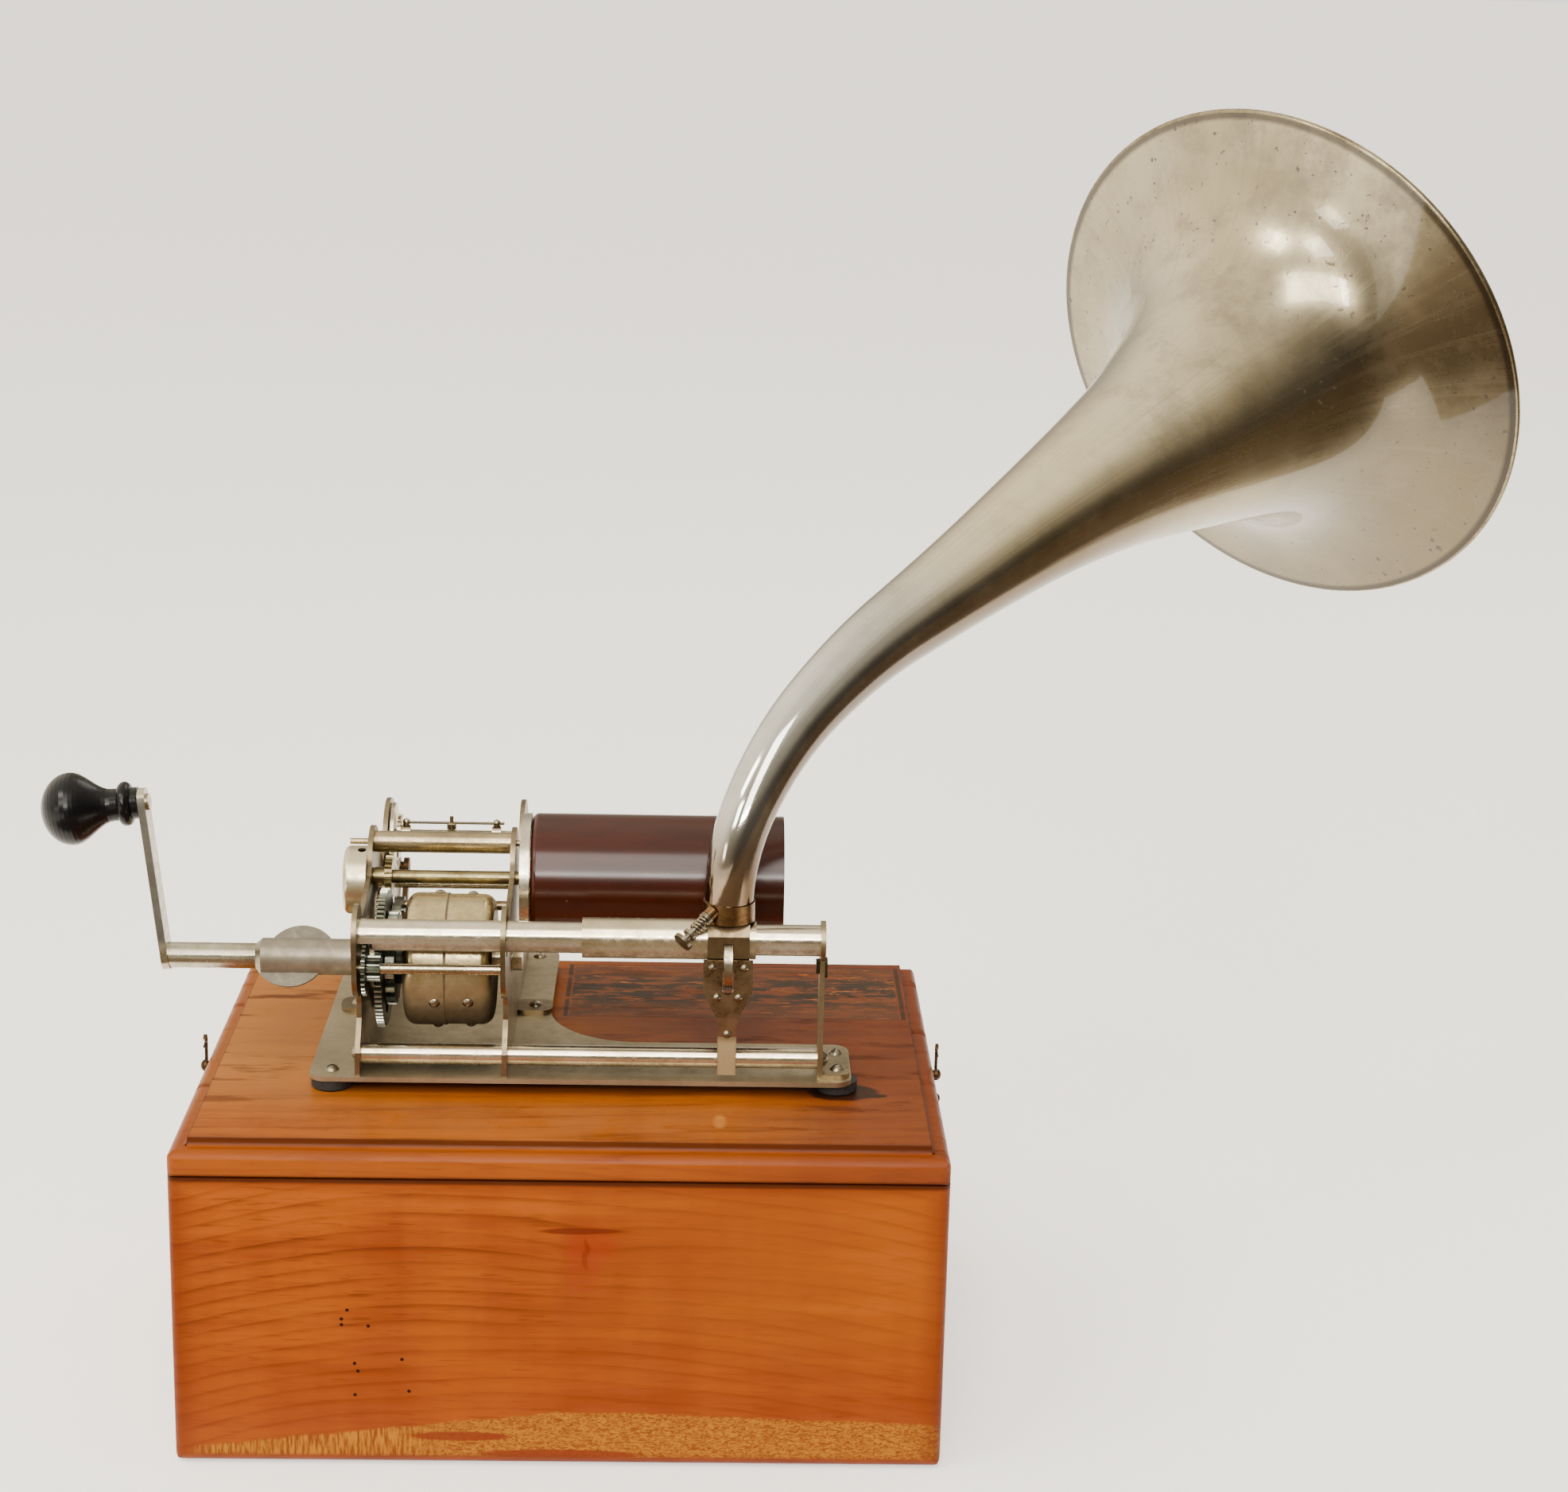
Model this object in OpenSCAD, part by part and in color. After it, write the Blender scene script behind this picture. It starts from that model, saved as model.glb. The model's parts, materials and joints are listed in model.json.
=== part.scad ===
// Cylinder phonograph on a wooden box: open spring motor, guide tube with a carriage, curved horn.
// Units are millimetres. X runs to the right, Y to the back, Z up. The origin is the middle of the
// box's underside. The mechanism's axes all run along X, so an axis is written as [y, z].

/* [Box] */
// Width of the box across its front
box_w = 312; // [280:1:380]
// Depth of the box from front to back
box_d = 235; // [215:1:300]
// Height of the box walls
box_h = 125; // [80:1:180]
// Thickness of the wall boards
wall_t = 10; // [7:0.5:14]
// Thickness of the floor panel
floor_t = 10; // [7:0.5:14]
// Rounding of the box's lower outer edges
box_round = 5.6; // [1:0.2:6]
// Rounding of the box's upright edges
corner_round = 4; // [1:0.5:6]

/* [Base board] */
// Thickness of the base board at its moulded rim
rim_t = 10.8; // [8:0.2:16]
// Height of the raised field above the rim
field_h = 3.4; // [2:0.2:5]
// Width of the rim around the raised field
rim_w = 7.5; // [5:0.5:14]
// Rounding of the rim's upper edge
nosing_r = 4; // [1:0.5:5]
// Rounding of the board's lower edge
under_r = 2; // [0.5:0.5:3]
// Radius of the cove between rim and field
cove_r = 2; // [0.5:0.1:2]

/* [Hooks] */
// Place of the hooks, in front of the middle of the board's sides
hook_front = 8; // [-60:1:60]
// Length of a hook from its pivot to its top
hook_len = 14; // [10:0.5:22]
// Thickness of the hook's metal
hook_t = 1.2; // [0.8:0.1:2]
// Radius of the hook's pivot screw
hook_pin_r = 1.2; // [0.8:0.1:1.6]

/* [Base plate] */
// Thickness of the base plate
base_t = 2.1; // [1.5:0.1:3]
// Height of the rubber feet
foot_h = 5; // [3:0.5:9]
// Radius of the rubber feet
foot_r = 8.6; // [6:0.1:10]
// Reach of the base plate left of the middle
base_left = 106.9; // [104:0.1:120]
// Reach of the base plate past the left face of the bracket strap
base_past = 14.4; // [14:0.1:24]
// Reach of the base plate in front of the middle
base_front = 60.5; // [60:0.5:75]
// Depth of the narrow front strip
strip_d = 45; // [44:0.5:52]
// Width of the wide part under the motor
wide_w = 96.4; // [96:0.1:100]
// Depth of the wide part under the motor
wide_d = 164.5; // [162:0.5:168]
// Radius of the hollow inner corner
inner_r = 39; // [20:1:50]
// Radius of the base plate's outer corners
plate_corner_r = 7; // [2:0.5:8]
// Inset of the feet from the base plate's edges
foot_inset = 9; // [8.8:0.1:12]

/* [Motor frame] */
// Left face of the left motor plate, left of the middle
left_face = 87.6; // [84:0.1:90]
// Thickness of the motor plates
plate_t = 2.1; // [1.6:0.1:2.4]
// Clear space between the two motor plates
plate_gap = 58.5; // [57:0.1:62]
// Length of the bent lugs that hold the plates down
lug_len = 15; // [11:0.5:16]
// Width of the bent lugs
lug_w = 15; // [11:0.5:20]
// Place of the lugs behind the middle
lug_back = 24; // [10:1:40]
// Winding axis, in front of the middle
barrel_front = 21.7; // [21:0.1:23]
// Winding axis, above the base plate
barrel_up = 38.9; // [38:0.1:42]
// Upper spacer rod, behind the middle
upper_back = 10; // [9:0.1:11]
// Upper spacer rod, above the base plate
upper_up = 80.5; // [80:0.1:82]
// Radius of the upper spacer rod
upper_r = 4.6; // [3:0.1:5]
// Radius of the stud at the upper rod's left end
stud_r = 1.3; // [1:0.1:1.5]
// Length of that stud outside the left plate
stud_len = 8.5; // [4:0.1:10]
// Lower rod, in front of the middle
lower_front = 51; // [50:0.1:52]
// Lower rod, above the base plate
lower_up = 7.1; // [6.5:0.1:8]
// Radius of the lower rod
lower_r = 4.3; // [3:0.1:4.6]

/* [Gears] */
// Module of the driving gears
gear_m = 0.8; // [0.78:0.01:0.82]
// Teeth of the great wheel
great_teeth = 72; // [71:1:74]
// Teeth of the small pinions on the great wheel
pinion_teeth = 12; // [11:1:13]
// Teeth of the thin gear on the front shaft
front_teeth = 27; // [26:1:28]
// Teeth of the feed screw's pinion
feed_teeth = 10; // [9:1:10]
// Module of the governor's gears
fine_m = 0.7; // [0.66:0.01:0.72]
// Teeth of the mandrel's pinion
mandrel_teeth = 21; // [20:1:22]
// Teeth of the first idler's wheel
first_teeth = 80; // [78:1:81]
// Teeth of the second idler's pinion
second_pinion = 40; // [38:1:42]
// Teeth of the second idler's wheel
second_teeth = 60; // [58:1:62]
// Teeth of the governor's pinion
governor_teeth = 24; // [22:1:26]
// Play on each side of a tooth
tooth_play = 0.2; // [0.15:0.01:0.25]
// Thickness of the thin gears beside the left plate
thin_gear_t = 1.5; // [1.2:0.1:1.5]
// Thickness of the great wheel
great_t = 3; // [2.4:0.1:3]
// Direction of the front shaft from the winding axis, in degrees
front_angle = 168.7; // [166:0.1:171]
// Direction of the mandrel from the winding axis, in degrees
mandrel_angle = 49.6; // [48:0.1:51]
// Direction of the first idler from the winding axis, in degrees
first_angle = -8; // [-9:0.5:-7]
// Direction of the second idler from the first one, in degrees
second_angle = 20; // [18:0.5:22]
// Direction of the governor from the second idler, in degrees
governor_angle = 33.5; // [32:0.5:35]
// Direction of the guide tube from the front shaft, in degrees
tube_angle = 91; // [88:0.5:93]

/* [Winding] */
// Radius of the spring barrel
barrel_r = 27.9; // [26:0.1:28.2]
// Length of the spring barrel
barrel_len = 37.2; // [35:0.1:38]
// Thickness of the barrel's sheet
barrel_t = 1.2; // [0.8:0.1:1.6]
// Rounding of the barrel's edges
barrel_round = 5; // [2:0.5:8]
// Radius of the winding shaft
wind_r = 4; // [3.5:0.1:4.2]
// Wall of the drive sleeve around the winding shaft
sleeve_wall = 2.4; // [1.5:0.1:2.4]
// Teeth of the ratchet wheel
ratchet_teeth = 18; // [14:1:24]
// Radius of the ratchet wheel over its teeth
ratchet_r = 20; // [18:0.1:20.4]
// Depth of a ratchet tooth
ratchet_deep = 2.4; // [1.5:0.1:3]
// Turns of the main spring
spring_turns = 10; // [6:1:14]
// Thickness of the main spring's strip
spring_t = 0.5; // [0.3:0.05:0.7]
// Distance of the click's rod from the winding axis
click_dist = 33; // [32.5:0.1:34]
// Direction of the click's rod from the winding axis, in degrees
click_angle = 25; // [24:1:27]

/* [Crank] */
// Gap between the left plate and the wing key
key_gap = 1.2; // [0.8:0.1:3]
// Length of the wing key's socket
key_len = 41.2; // [38:0.1:44]
// Radius of the wing key's socket
key_r = 7.7; // [6.5:0.1:8]
// Reach of the key's wings from the axis
wing_reach = 13.8; // [12:0.1:15]
// Tilt of the wings from level, in degrees
wing_tilt = 50; // [0:5:90]
// Length of the crank rod left of the key
crank_len = 36.4; // [36:0.1:60]
// Radius of the crank rod
crank_r = 5.4; // [4:0.1:5.6]
// Length of the crank arm between rod and knob
arm_len = 67.3; // [50:0.1:80]
// Width of the crank arm
arm_w = 12; // [12:0.5:16]
// Thickness of the crank arm
arm_t = 3; // [2:0.1:5]
// Outward lean of the crank arm, in degrees
arm_lean = 6.4; // [0:0.1:12]
// Greatest radius of the pear-shaped knob
knob_r = 15.2; // [12:0.1:18]
// Length of the knob along its spindle
knob_len = 40.5; // [38:0.5:48]
// Radius of the knob's bead ring
bead_r = 9.3; // [7.5:0.1:11]
// Radius of the knob's spindle
spindle_r = 2.4; // [1.8:0.1:3]

/* [Mandrel and record] */
// Radius of the mandrel's shaft
shaft_r = 2.9; // [2.6:0.1:3.4]
// Width of the silver flange at the mandrel's left end
flange_w = 4; // [3:0.1:6]
// Outside radius of the record
record_r = 28.1; // [26:0.1:28.4]
// Length of the record
record_len = 107; // [100:0.5:110]
// Radius of the mandrel at its wide left end
mandrel_big = 23.4; // [22.8:0.1:24]
// Radius of the mandrel at its narrow right end
mandrel_small = 21.9; // [20:0.1:22.6]
// Wall of the hollow mandrel
mandrel_wall = 1.6; // [1:0.1:3]
// Radius of the bearing cup outside the left plate
cup_r = 14.6; // [12:0.1:14.8]
// Depth of the bearing cup
cup_d = 10; // [8:0.1:12]
// Drop of the cup's middle below the mandrel's axis
cup_drop = 1.7; // [1.4:0.1:2.5]

/* [Guide tube and carriage] */
// Outside radius of the guide tube
tube_r = 6.5; // [6.2:0.1:6.8]
// Wall of the guide tube
tube_t = 1.1; // [0.8:0.1:1.2]
// Length of the guide tube
tube_len = 189.4; // [186:0.1:195]
// Radius of the carriage's sleeve
sleeve_r = 8.35; // [8:0.05:8.6]
// Length of the carriage's sleeve
sleeve_len = 51.4; // [40:0.1:56]
// Width of the yoke block
yoke_w = 17.2; // [16:0.1:20]
// Middle of the yoke, right of the box's middle
yoke_x = 66; // [60:0.5:68]
// Width of the leg plate at its top
leg_top_w = 20.3; // [19:0.1:21]
// Width of the leg plate at its foot
leg_foot_w = 7.8; // [6:0.1:10]
// Thickness of the leg plate
leg_t = 1.4; // [1:0.1:1.8]
// Thickness of the bracket strap
strap_t = 2.1; // [1.6:0.1:3]
// Width of the bracket strap
strap_w = 13; // [12.5:0.5:16]

/* [Governor] */
// Radius of the governor's shaft
governor_r = 1.5; // [1.2:0.1:2]
// Radius of the friction disc
disc_r = 13.6; // [11:0.1:14]
// Distance of the governor's springs from its axis
flyer_r = 4.6; // [4.4:0.1:5.4]
// Number of governor springs
flyers = 3; // [2:1:4]

/* [Horn] */
// Length of the horn along its middle line
horn_len = 462; // [420:2:500]
// Radius of the horn's neck
horn_neck_r = 9.8; // [9.6:0.1:10.2]
// Even widening of the horn, in millimetres for each millimetre
horn_taper = 0.015; // [0.01:0.001:0.03]
// Radius that the long flare adds at the rim
flare_r = 68; // [50:1:80]
// Length over which the long flare opens
flare_len = 130; // [100:1:150]
// Radius that the short turned-out bell adds at the rim
bell_r = 44; // [30:1:60]
// Length over which the bell turns out
bell_len = 14; // [10:0.5:24]
// Thickness of the horn's sheet
horn_t = 1; // [0.8:0.1:1.4]
// Radius of the rolled wire at the rim
rim_wire_r = 1.7; // [1:0.1:2.5]
// Direction of the horn, in degrees from straight back towards the right
horn_turn = 43; // [30:1:60]

/* [Thumbscrew] */
// Radius of the thumbscrew's head
thumb_r = 4.2; // [3:0.1:4.6]
// Turns of the thumbscrew's spring
thumb_turns = 4; // [3:1:5]
// Radius of that spring's wire
thumb_wire_r = 0.42; // [0.3:0.01:0.45]

/* [Hidden] */
$fn = 48;

// Clearances
run_c = 0.05;
seat_c = 0.02;
air = 0.3;
more = 1;

// Heights
board_t = rim_t + field_h;
board_top = box_h + board_t;
base_low = board_top + foot_h;
base_top = base_low + base_t;

// Places across the motor, from left to right
left_in = plate_t - left_face;
thin_x = left_in + 1.6;
second_x = thin_x + thin_gear_t + air;
great_x = second_x + thin_gear_t + 0.4;
ratchet_x = great_x + great_t + 0.6;
ratchet_t = 3.7;
barrel_x = ratchet_x + ratchet_t + 3.7;
mid_x = left_in + plate_gap;
mid_out = mid_x + plate_t;
bracket_x = left_in + tube_len;
base_right = bracket_x + base_past;

// Axes, each as [y, z]
function polar(c, r, a) = [c[0] + r * cos(a), c[1] + r * sin(a)];
function mesh_dist(a, b, m) = m * (a + b) / 2;
drive_dist = mesh_dist(great_teeth, pinion_teeth, gear_m);
barrel_at = [-barrel_front, base_top + barrel_up];
front_at = polar(barrel_at, drive_dist, front_angle);
mandrel_at = polar(barrel_at, mesh_dist(great_teeth, mandrel_teeth, gear_m), mandrel_angle);
first_at = polar(barrel_at, drive_dist, first_angle);
second_at = polar(first_at, mesh_dist(first_teeth, second_pinion, fine_m), second_angle);
governor_at = polar(second_at, mesh_dist(second_teeth, governor_teeth, fine_m), governor_angle);
tube_at = polar(front_at, mesh_dist(front_teeth, feed_teeth, gear_m), tube_angle);
upper_at = [upper_back, base_top + upper_up];
lower_at = [-lower_front, base_top + lower_up];
click_at = polar(barrel_at, click_dist, click_angle);
cup_at = [mandrel_at[0], mandrel_at[1] - cup_drop];
brake_at = [governor_at[0] - 31.6, governor_at[1] - 55.2];

// Shared screws
screw_r = 1.6;
head_r = 3.1;
head_h = 2;
journal_r = 1.6;
feed_r = 2.6;
front_r = 2.2;
idler_r = 2;
foot_xy = [[foot_inset - base_left, foot_inset - base_front],
    [foot_inset - base_left, wide_d - base_front - foot_inset],
    [wide_w - base_left - foot_inset, wide_d - base_front - foot_inset],
    [base_right - foot_inset + 3, foot_inset - base_front + 2]];
bracket_screw_xy = [foot_xy[3], [foot_xy[3][0], foot_xy[3][1] + 18.5]];
lug_xy = [[-left_face - lug_len / 2, lug_back], [mid_out + lug_len / 2, lug_back]];

// Carriage
yoke_x0 = yoke_x - yoke_w / 2;
yoke_top = tube_at[1] + 8.8;
yoke_low = tube_at[1] - 7.8;
yoke_front = tube_at[0] - 8.6;
yoke_back = tube_at[0] + 10.1;
post_r = horn_neck_r - horn_t - 0.35;
collar_h = 8;
horn_z = yoke_top + air + collar_h;
record_front = mandrel_at[0] - record_r;
drum_x = mid_out + 3;
record_x = drum_x + flange_w + air;
leg_lean = atan((lower_at[0] - lower_r - 2.2 - yoke_front) / (yoke_low - lower_at[1]));
leg_len = (yoke_low - lower_at[1]) / cos(leg_lean) + 4.8;

// Horn: bend of its middle line as [distance along it, angle above level]
horn_bend = [[collar_h, 90], [0.1082 * horn_len, 54.7], [0.2164 * horn_len, 31.6], [0.3463 * horn_len, 18.5],
    [0.5195 * horn_len, 18.7], [0.7359 * horn_len, 13.8], [1.013 * horn_len, 20.2]];
horn_rings = 52;
horn_sides = 36;

// General shapes

module along_x(x0, len) {
    translate([x0, 0, 0]) rotate([90, 0, 90]) linear_extrude(len) children();
}

module rod_x(x0, len, at, r) {
    translate([x0, at[0], at[1]]) rotate([0, 90, 0]) cylinder(h = len, r = r);
}

module turn_x(x0, at) {
    translate([x0, at[0], at[1]]) rotate([0, 90, 0]) rotate_extrude() children();
}

module disc_at(at, r) {
    translate(at) circle(r);
}

module round_rect(x0, y0, x1, y1, r) {
    translate([x0 + r, y0]) square([x1 - x0 - 2 * r, y1 - y0]);
    translate([x0, y0 + r]) square([x1 - x0, y1 - y0 - 2 * r]);
    for (x = [x0 + r, x1 - r], y = [y0 + r, y1 - r]) translate([x, y]) circle(r);
}

// Cutter that rounds an edge along Z, with the body in the +X +Y quarter
module edge_cut(len, r) {
    translate([0, 0, -more]) linear_extrude(len + 2 * more) difference() {
        translate([-more, -more]) square(r + more);
        translate([r, r]) circle(r);
    }
}

module front_edge_cut(w, d, z, r) {
    translate([-w / 2, -d / 2, z]) rotate([90, 0, 90]) edge_cut(w, r);
}

module side_edge_cut(w, d, z, r) {
    translate([-w / 2, d / 2, z]) rotate([90, 0, 0]) edge_cut(d, r);
}

module ring_edge_cut(w, d, z, r) {
    for (back = [0, 1]) mirror([0, back, 0]) front_edge_cut(w, d, z, r);
    for (right = [0, 1]) mirror([right, 0, 0]) side_edge_cut(w, d, z, r);
}

module corner_cuts(w, d, h, r) {
    for (right = [0, 1], back = [0, 1])
        mirror([right, 0, 0]) mirror([0, back, 0]) translate([-w / 2, -d / 2, 0]) edge_cut(h, r);
}

// Round-headed screw: the head stands on z = 0 and the shank goes down
module round_screw(shank_r, shank_len, hr, hh, slot_turn) {
    ball_r = (hr * hr + hh * hh) / (2 * hh);
    slot_w = hr * 0.26;
    translate([0, 0, -shank_len]) cylinder(h = shank_len + 0.2, r = shank_r);
    difference() {
        intersection() {
            translate([0, 0, hh - ball_r]) sphere(ball_r);
            cylinder(h = hh + more, r = hr);
        }
        rotate([0, 0, slot_turn]) translate([-hr, -slot_w / 2, hh * 0.55]) cube([2 * hr, slot_w, hh]);
    }
}

// Toothed wheel with involute flanks, one tooth middle at the angle turn
function involute(a) = tan(a) - a * PI / 180;
function tooth_half(r, rp, rb, half) =
    half + (involute(acos(rb / rp)) - involute(acos(min(1, rb / max(r, rb))))) * 180 / PI;
function gear_points(teeth, m, turn) =
    let (rp = m * teeth / 2, rb = rp * cos(20), root = rp - 1.15 * m, tip = rp + 0.75 * m,
        half = 90 / teeth - tooth_play / rp * 180 / PI,
        steps = [root, max(rb, root + 0.05), rp, tip])
    [for (k = [0 : teeth - 1], i = [0 : 7])
        let (r = steps[i < 4 ? i : 7 - i], side = i < 4 ? -1 : 1,
            a = turn + k * 360 / teeth + side * tooth_half(r, rp, rb, half))
        [r * cos(a), r * sin(a)]];

module gear_x(x0, t, at, teeth, m, turn) {
    along_x(x0, t) translate(at) polygon(gear_points(teeth, m, turn));
}

// Turn of a wheel b that meshes with a wheel a, seen from a in the given direction
function mesh_turn(a_teeth, b_teeth, a_turn, direction) =
    direction + 180 - a_teeth / b_teeth * (a_turn - direction) - 180 / b_teeth;

front_turn = mesh_turn(great_teeth, pinion_teeth, 0, front_angle);
mandrel_turn = mesh_turn(great_teeth, mandrel_teeth, 0, mandrel_angle);
first_turn = mesh_turn(great_teeth, pinion_teeth, 0, first_angle);
feed_turn = mesh_turn(front_teeth, feed_teeth, front_turn, tube_angle);
second_turn = mesh_turn(first_teeth, second_pinion, first_turn, second_angle);
governor_turn = mesh_turn(second_teeth, governor_teeth, second_turn, governor_angle);

// Half profile of a drum with a rounded closed end at the bottom, turned about the upright axis
module drum_half(len, r, round) {
    square([r - round, len]);
    translate([0, round]) square([r, len - round]);
    intersection() {
        translate([r - round, round]) circle(round);
        square([r, len]);
    }
}

module cup_half(len, r, t, round, bore) {
    difference() {
        drum_half(len, r, round);
        translate([0, t]) drum_half(len, r - t, max(round - t, 0.3));
        if (bore > 0) square([bore, len]);
    }
}

// Box

module box_edges() {
    ring_edge_cut(box_w, box_d, 0, box_round);
    corner_cuts(box_w, box_d, box_h, corner_round);
}

module wide_wall(side) {
    color("#c0702c") difference() {
        translate([-box_w / 2, side > 0 ? box_d / 2 - wall_t : -box_d / 2, 0]) cube([box_w, wall_t, box_h]);
        box_edges();
    }
}

module side_wall(side) {
    color("#b96a29") difference() {
        translate([side > 0 ? box_w / 2 - wall_t : -box_w / 2, wall_t - box_d / 2, 0])
            cube([wall_t, box_d - 2 * wall_t, box_h]);
        box_edges();
        catch_at(side) rotate([0, 90, 0]) translate([0, 0, -more]) cylinder(h = 8, r = hook_pin_r + seat_c);
    }
}

module box_front() wide_wall(-1);
module box_back() wide_wall(1);
module box_left() side_wall(-1);
module box_right() side_wall(1);

module box_floor() {
    color("#b4682a") translate([wall_t - box_w / 2, wall_t - box_d / 2, 0])
        cube([box_w - 2 * wall_t, box_d - 2 * wall_t, floor_t]);
}

// Local frame of a catch pin: x points into the box's side, one hook's reach below the pivot
module catch_at(side) {
    drop = hook_len - hook_pin_r - 1.75 - rim_t / 2;
    translate([side * box_w / 2, -hook_front, box_h - drop]) mirror([side > 0 ? 1 : 0, 0, 0]) children();
}

module catch_pins() {
    stand = 0.6 + hook_t + 2 * air;
    color("#6b5233") for (side = [-1, 1]) catch_at(side) translate([-stand, 0, 0]) rotate([0, -90, 0])
        round_screw(hook_pin_r, 6 + stand, hook_pin_r + 1, 1.3, 30);
}

// Base board

module cove_strip(w, d, z) {
    translate([-w / 2, -d / 2, z]) rotate([90, 0, 90]) linear_extrude(w) difference() {
        translate([-cove_r, 0]) square([cove_r + 0.2, cove_r]);
        translate([-cove_r, cove_r]) circle(cove_r);
    }
}

module base_board() {
    field_w = box_w - 2 * rim_w;
    field_d = box_d - 2 * rim_w;
    color("#c67a35") difference() {
        union() {
            difference() {
                translate([-box_w / 2, -box_d / 2, box_h]) cube([box_w, box_d, rim_t]);
                ring_edge_cut(box_w, box_d, box_h, under_r);
                translate([0, 0, 2 * box_h + rim_t]) mirror([0, 0, 1])
                    ring_edge_cut(box_w, box_d, box_h, nosing_r);
                translate([0, 0, box_h]) corner_cuts(box_w, box_d, rim_t, corner_round);
            }
            translate([-field_w / 2, -field_d / 2, box_h]) cube([field_w, field_d, board_t]);
            for (back = [0, 1]) mirror([0, back, 0]) cove_strip(field_w, field_d, box_h + rim_t);
            for (right = [0, 1]) mirror([right, 0, 0]) rotate([0, 0, 90])
                cove_strip(field_d, field_w, box_h + rim_t);
        }
        for (p = foot_xy) translate([p[0], p[1], board_top - 8]) cylinder(h = 9, r = screw_r + seat_c);
        for (side = [-1, 1]) hook_at(side) rotate([0, 90, 0]) translate([0, 0, -more])
            cylinder(h = 9, r = hook_pin_r + seat_c);
    }
}

// Hooks

// Local frame of a hook pivot: x points into the board's side
module hook_at(side) {
    translate([side * box_w / 2, -hook_front, box_h + rim_t / 2]) mirror([side > 0 ? 1 : 0, 0, 0]) children();
}

module hook_screws() {
    color("#6b5233") for (side = [-1, 1]) hook_at(side) {
        rotate([0, -90, 0]) cylinder(h = 0.6, r = hook_pin_r + 0.8);
        translate([-0.6 - hook_t - 2 * air, 0, 0]) rotate([0, -90, 0])
            round_screw(hook_pin_r, 7 + hook_t, hook_pin_r + 1.2, 1.3, 60);
    }
}

module hook_shape() {
    eye = hook_pin_r + 0.35;
    ring_r = eye + 1.4;
    reach = hook_len - ring_r;
    difference() {
        union() {
            circle(hook_pin_r + 1.4);
            translate([eye, 0]) square([1.4, reach]);
            translate([0, reach]) circle(ring_r);
        }
        circle(hook_pin_r + run_c);
        translate([0, reach]) circle(eye);
        translate([-ring_r - more, reach - eye]) square([ring_r + more, 2 * eye]);
    }
}

module hook(side) {
    color("#6b5233") hook_at(side) along_x(-0.6 - hook_t - air, hook_t) hook_shape();
}

module hook_left() hook(-1);
module hook_right() hook(1);

// Base plate and feet

module base_shape() {
    round_rect(-base_left, -base_front, base_right, strip_d - base_front, plate_corner_r);
    round_rect(-base_left, -base_front, wide_w - base_left, wide_d - base_front, plate_corner_r);
    difference() {
        translate([wide_w - base_left - more, strip_d - base_front - more]) square(inner_r + more);
        translate([wide_w - base_left + inner_r, strip_d - base_front + inner_r]) circle(inner_r);
    }
}

module base_plate() {
    color("#b9b3a4") difference() {
        translate([0, 0, base_low]) linear_extrude(base_t) base_shape();
        for (p = concat(foot_xy, lug_xy, [bracket_screw_xy[1]]))
            translate([p[0], p[1], base_low - more]) cylinder(h = base_t + 2 * more, r = screw_r + seat_c);
    }
}

module rubber_feet() {
    color("#2b2b2b") for (p = foot_xy) translate([p[0], p[1], board_top]) difference() {
        rotate_extrude() polygon([[0, 0], [foot_r - 0.8, 0], [foot_r, 0.8], [foot_r, foot_h], [0, foot_h]]);
        translate([0, 0, -more]) cylinder(h = foot_h + 2 * more, r = screw_r + seat_c);
    }
}

module down_screw(p, z, len, turn) {
    translate([p[0], p[1], z]) round_screw(screw_r, len, head_r, head_h, turn);
}

module base_screws() {
    under = base_t + foot_h + 6;
    color("#a8a294") {
        for (i = [0 : 2]) down_screw(foot_xy[i], base_top, under, 25 + 40 * i);
        for (i = [0, 1]) down_screw(lug_xy[i], base_top + plate_t, base_t + plate_t, 70 + 15 * i);
        down_screw(bracket_screw_xy[0], base_top + strap_t, strap_t + under, 20);
        down_screw(bracket_screw_xy[1], base_top + strap_t, strap_t + base_t, 70);
    }
}

// Motor plates

front_lobe_r = 12.5;
shaft_lobe_r = 11.5;
upper_lobe_r = 15.3;
rear_lobe_r = 21.5;
upper_lobe_at = upper_at + [0.5, -8.8];
rear_lobe_at = governor_at + [0.4, -6];
waist_y = lower_at[0] + 1.5;
toe_y = lower_at[0] - 8.3;
waist_fillet = 6;
saddle_y = (upper_lobe_at[0] + rear_lobe_at[0]) / 2 - 3;

module waist_fill() {
    cy = waist_y - waist_fillet;
    cz = front_at[1] - sqrt(pow(shaft_lobe_r + waist_fillet, 2) - pow(cy - front_at[0], 2));
    touch = polar(front_at, shaft_lobe_r, atan2(cz - front_at[1], cy - front_at[0]));
    difference() {
        polygon([[waist_y, cz], touch, [waist_y, front_at[1]]]);
        disc_at([cy, cz], waist_fillet);
    }
}

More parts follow.
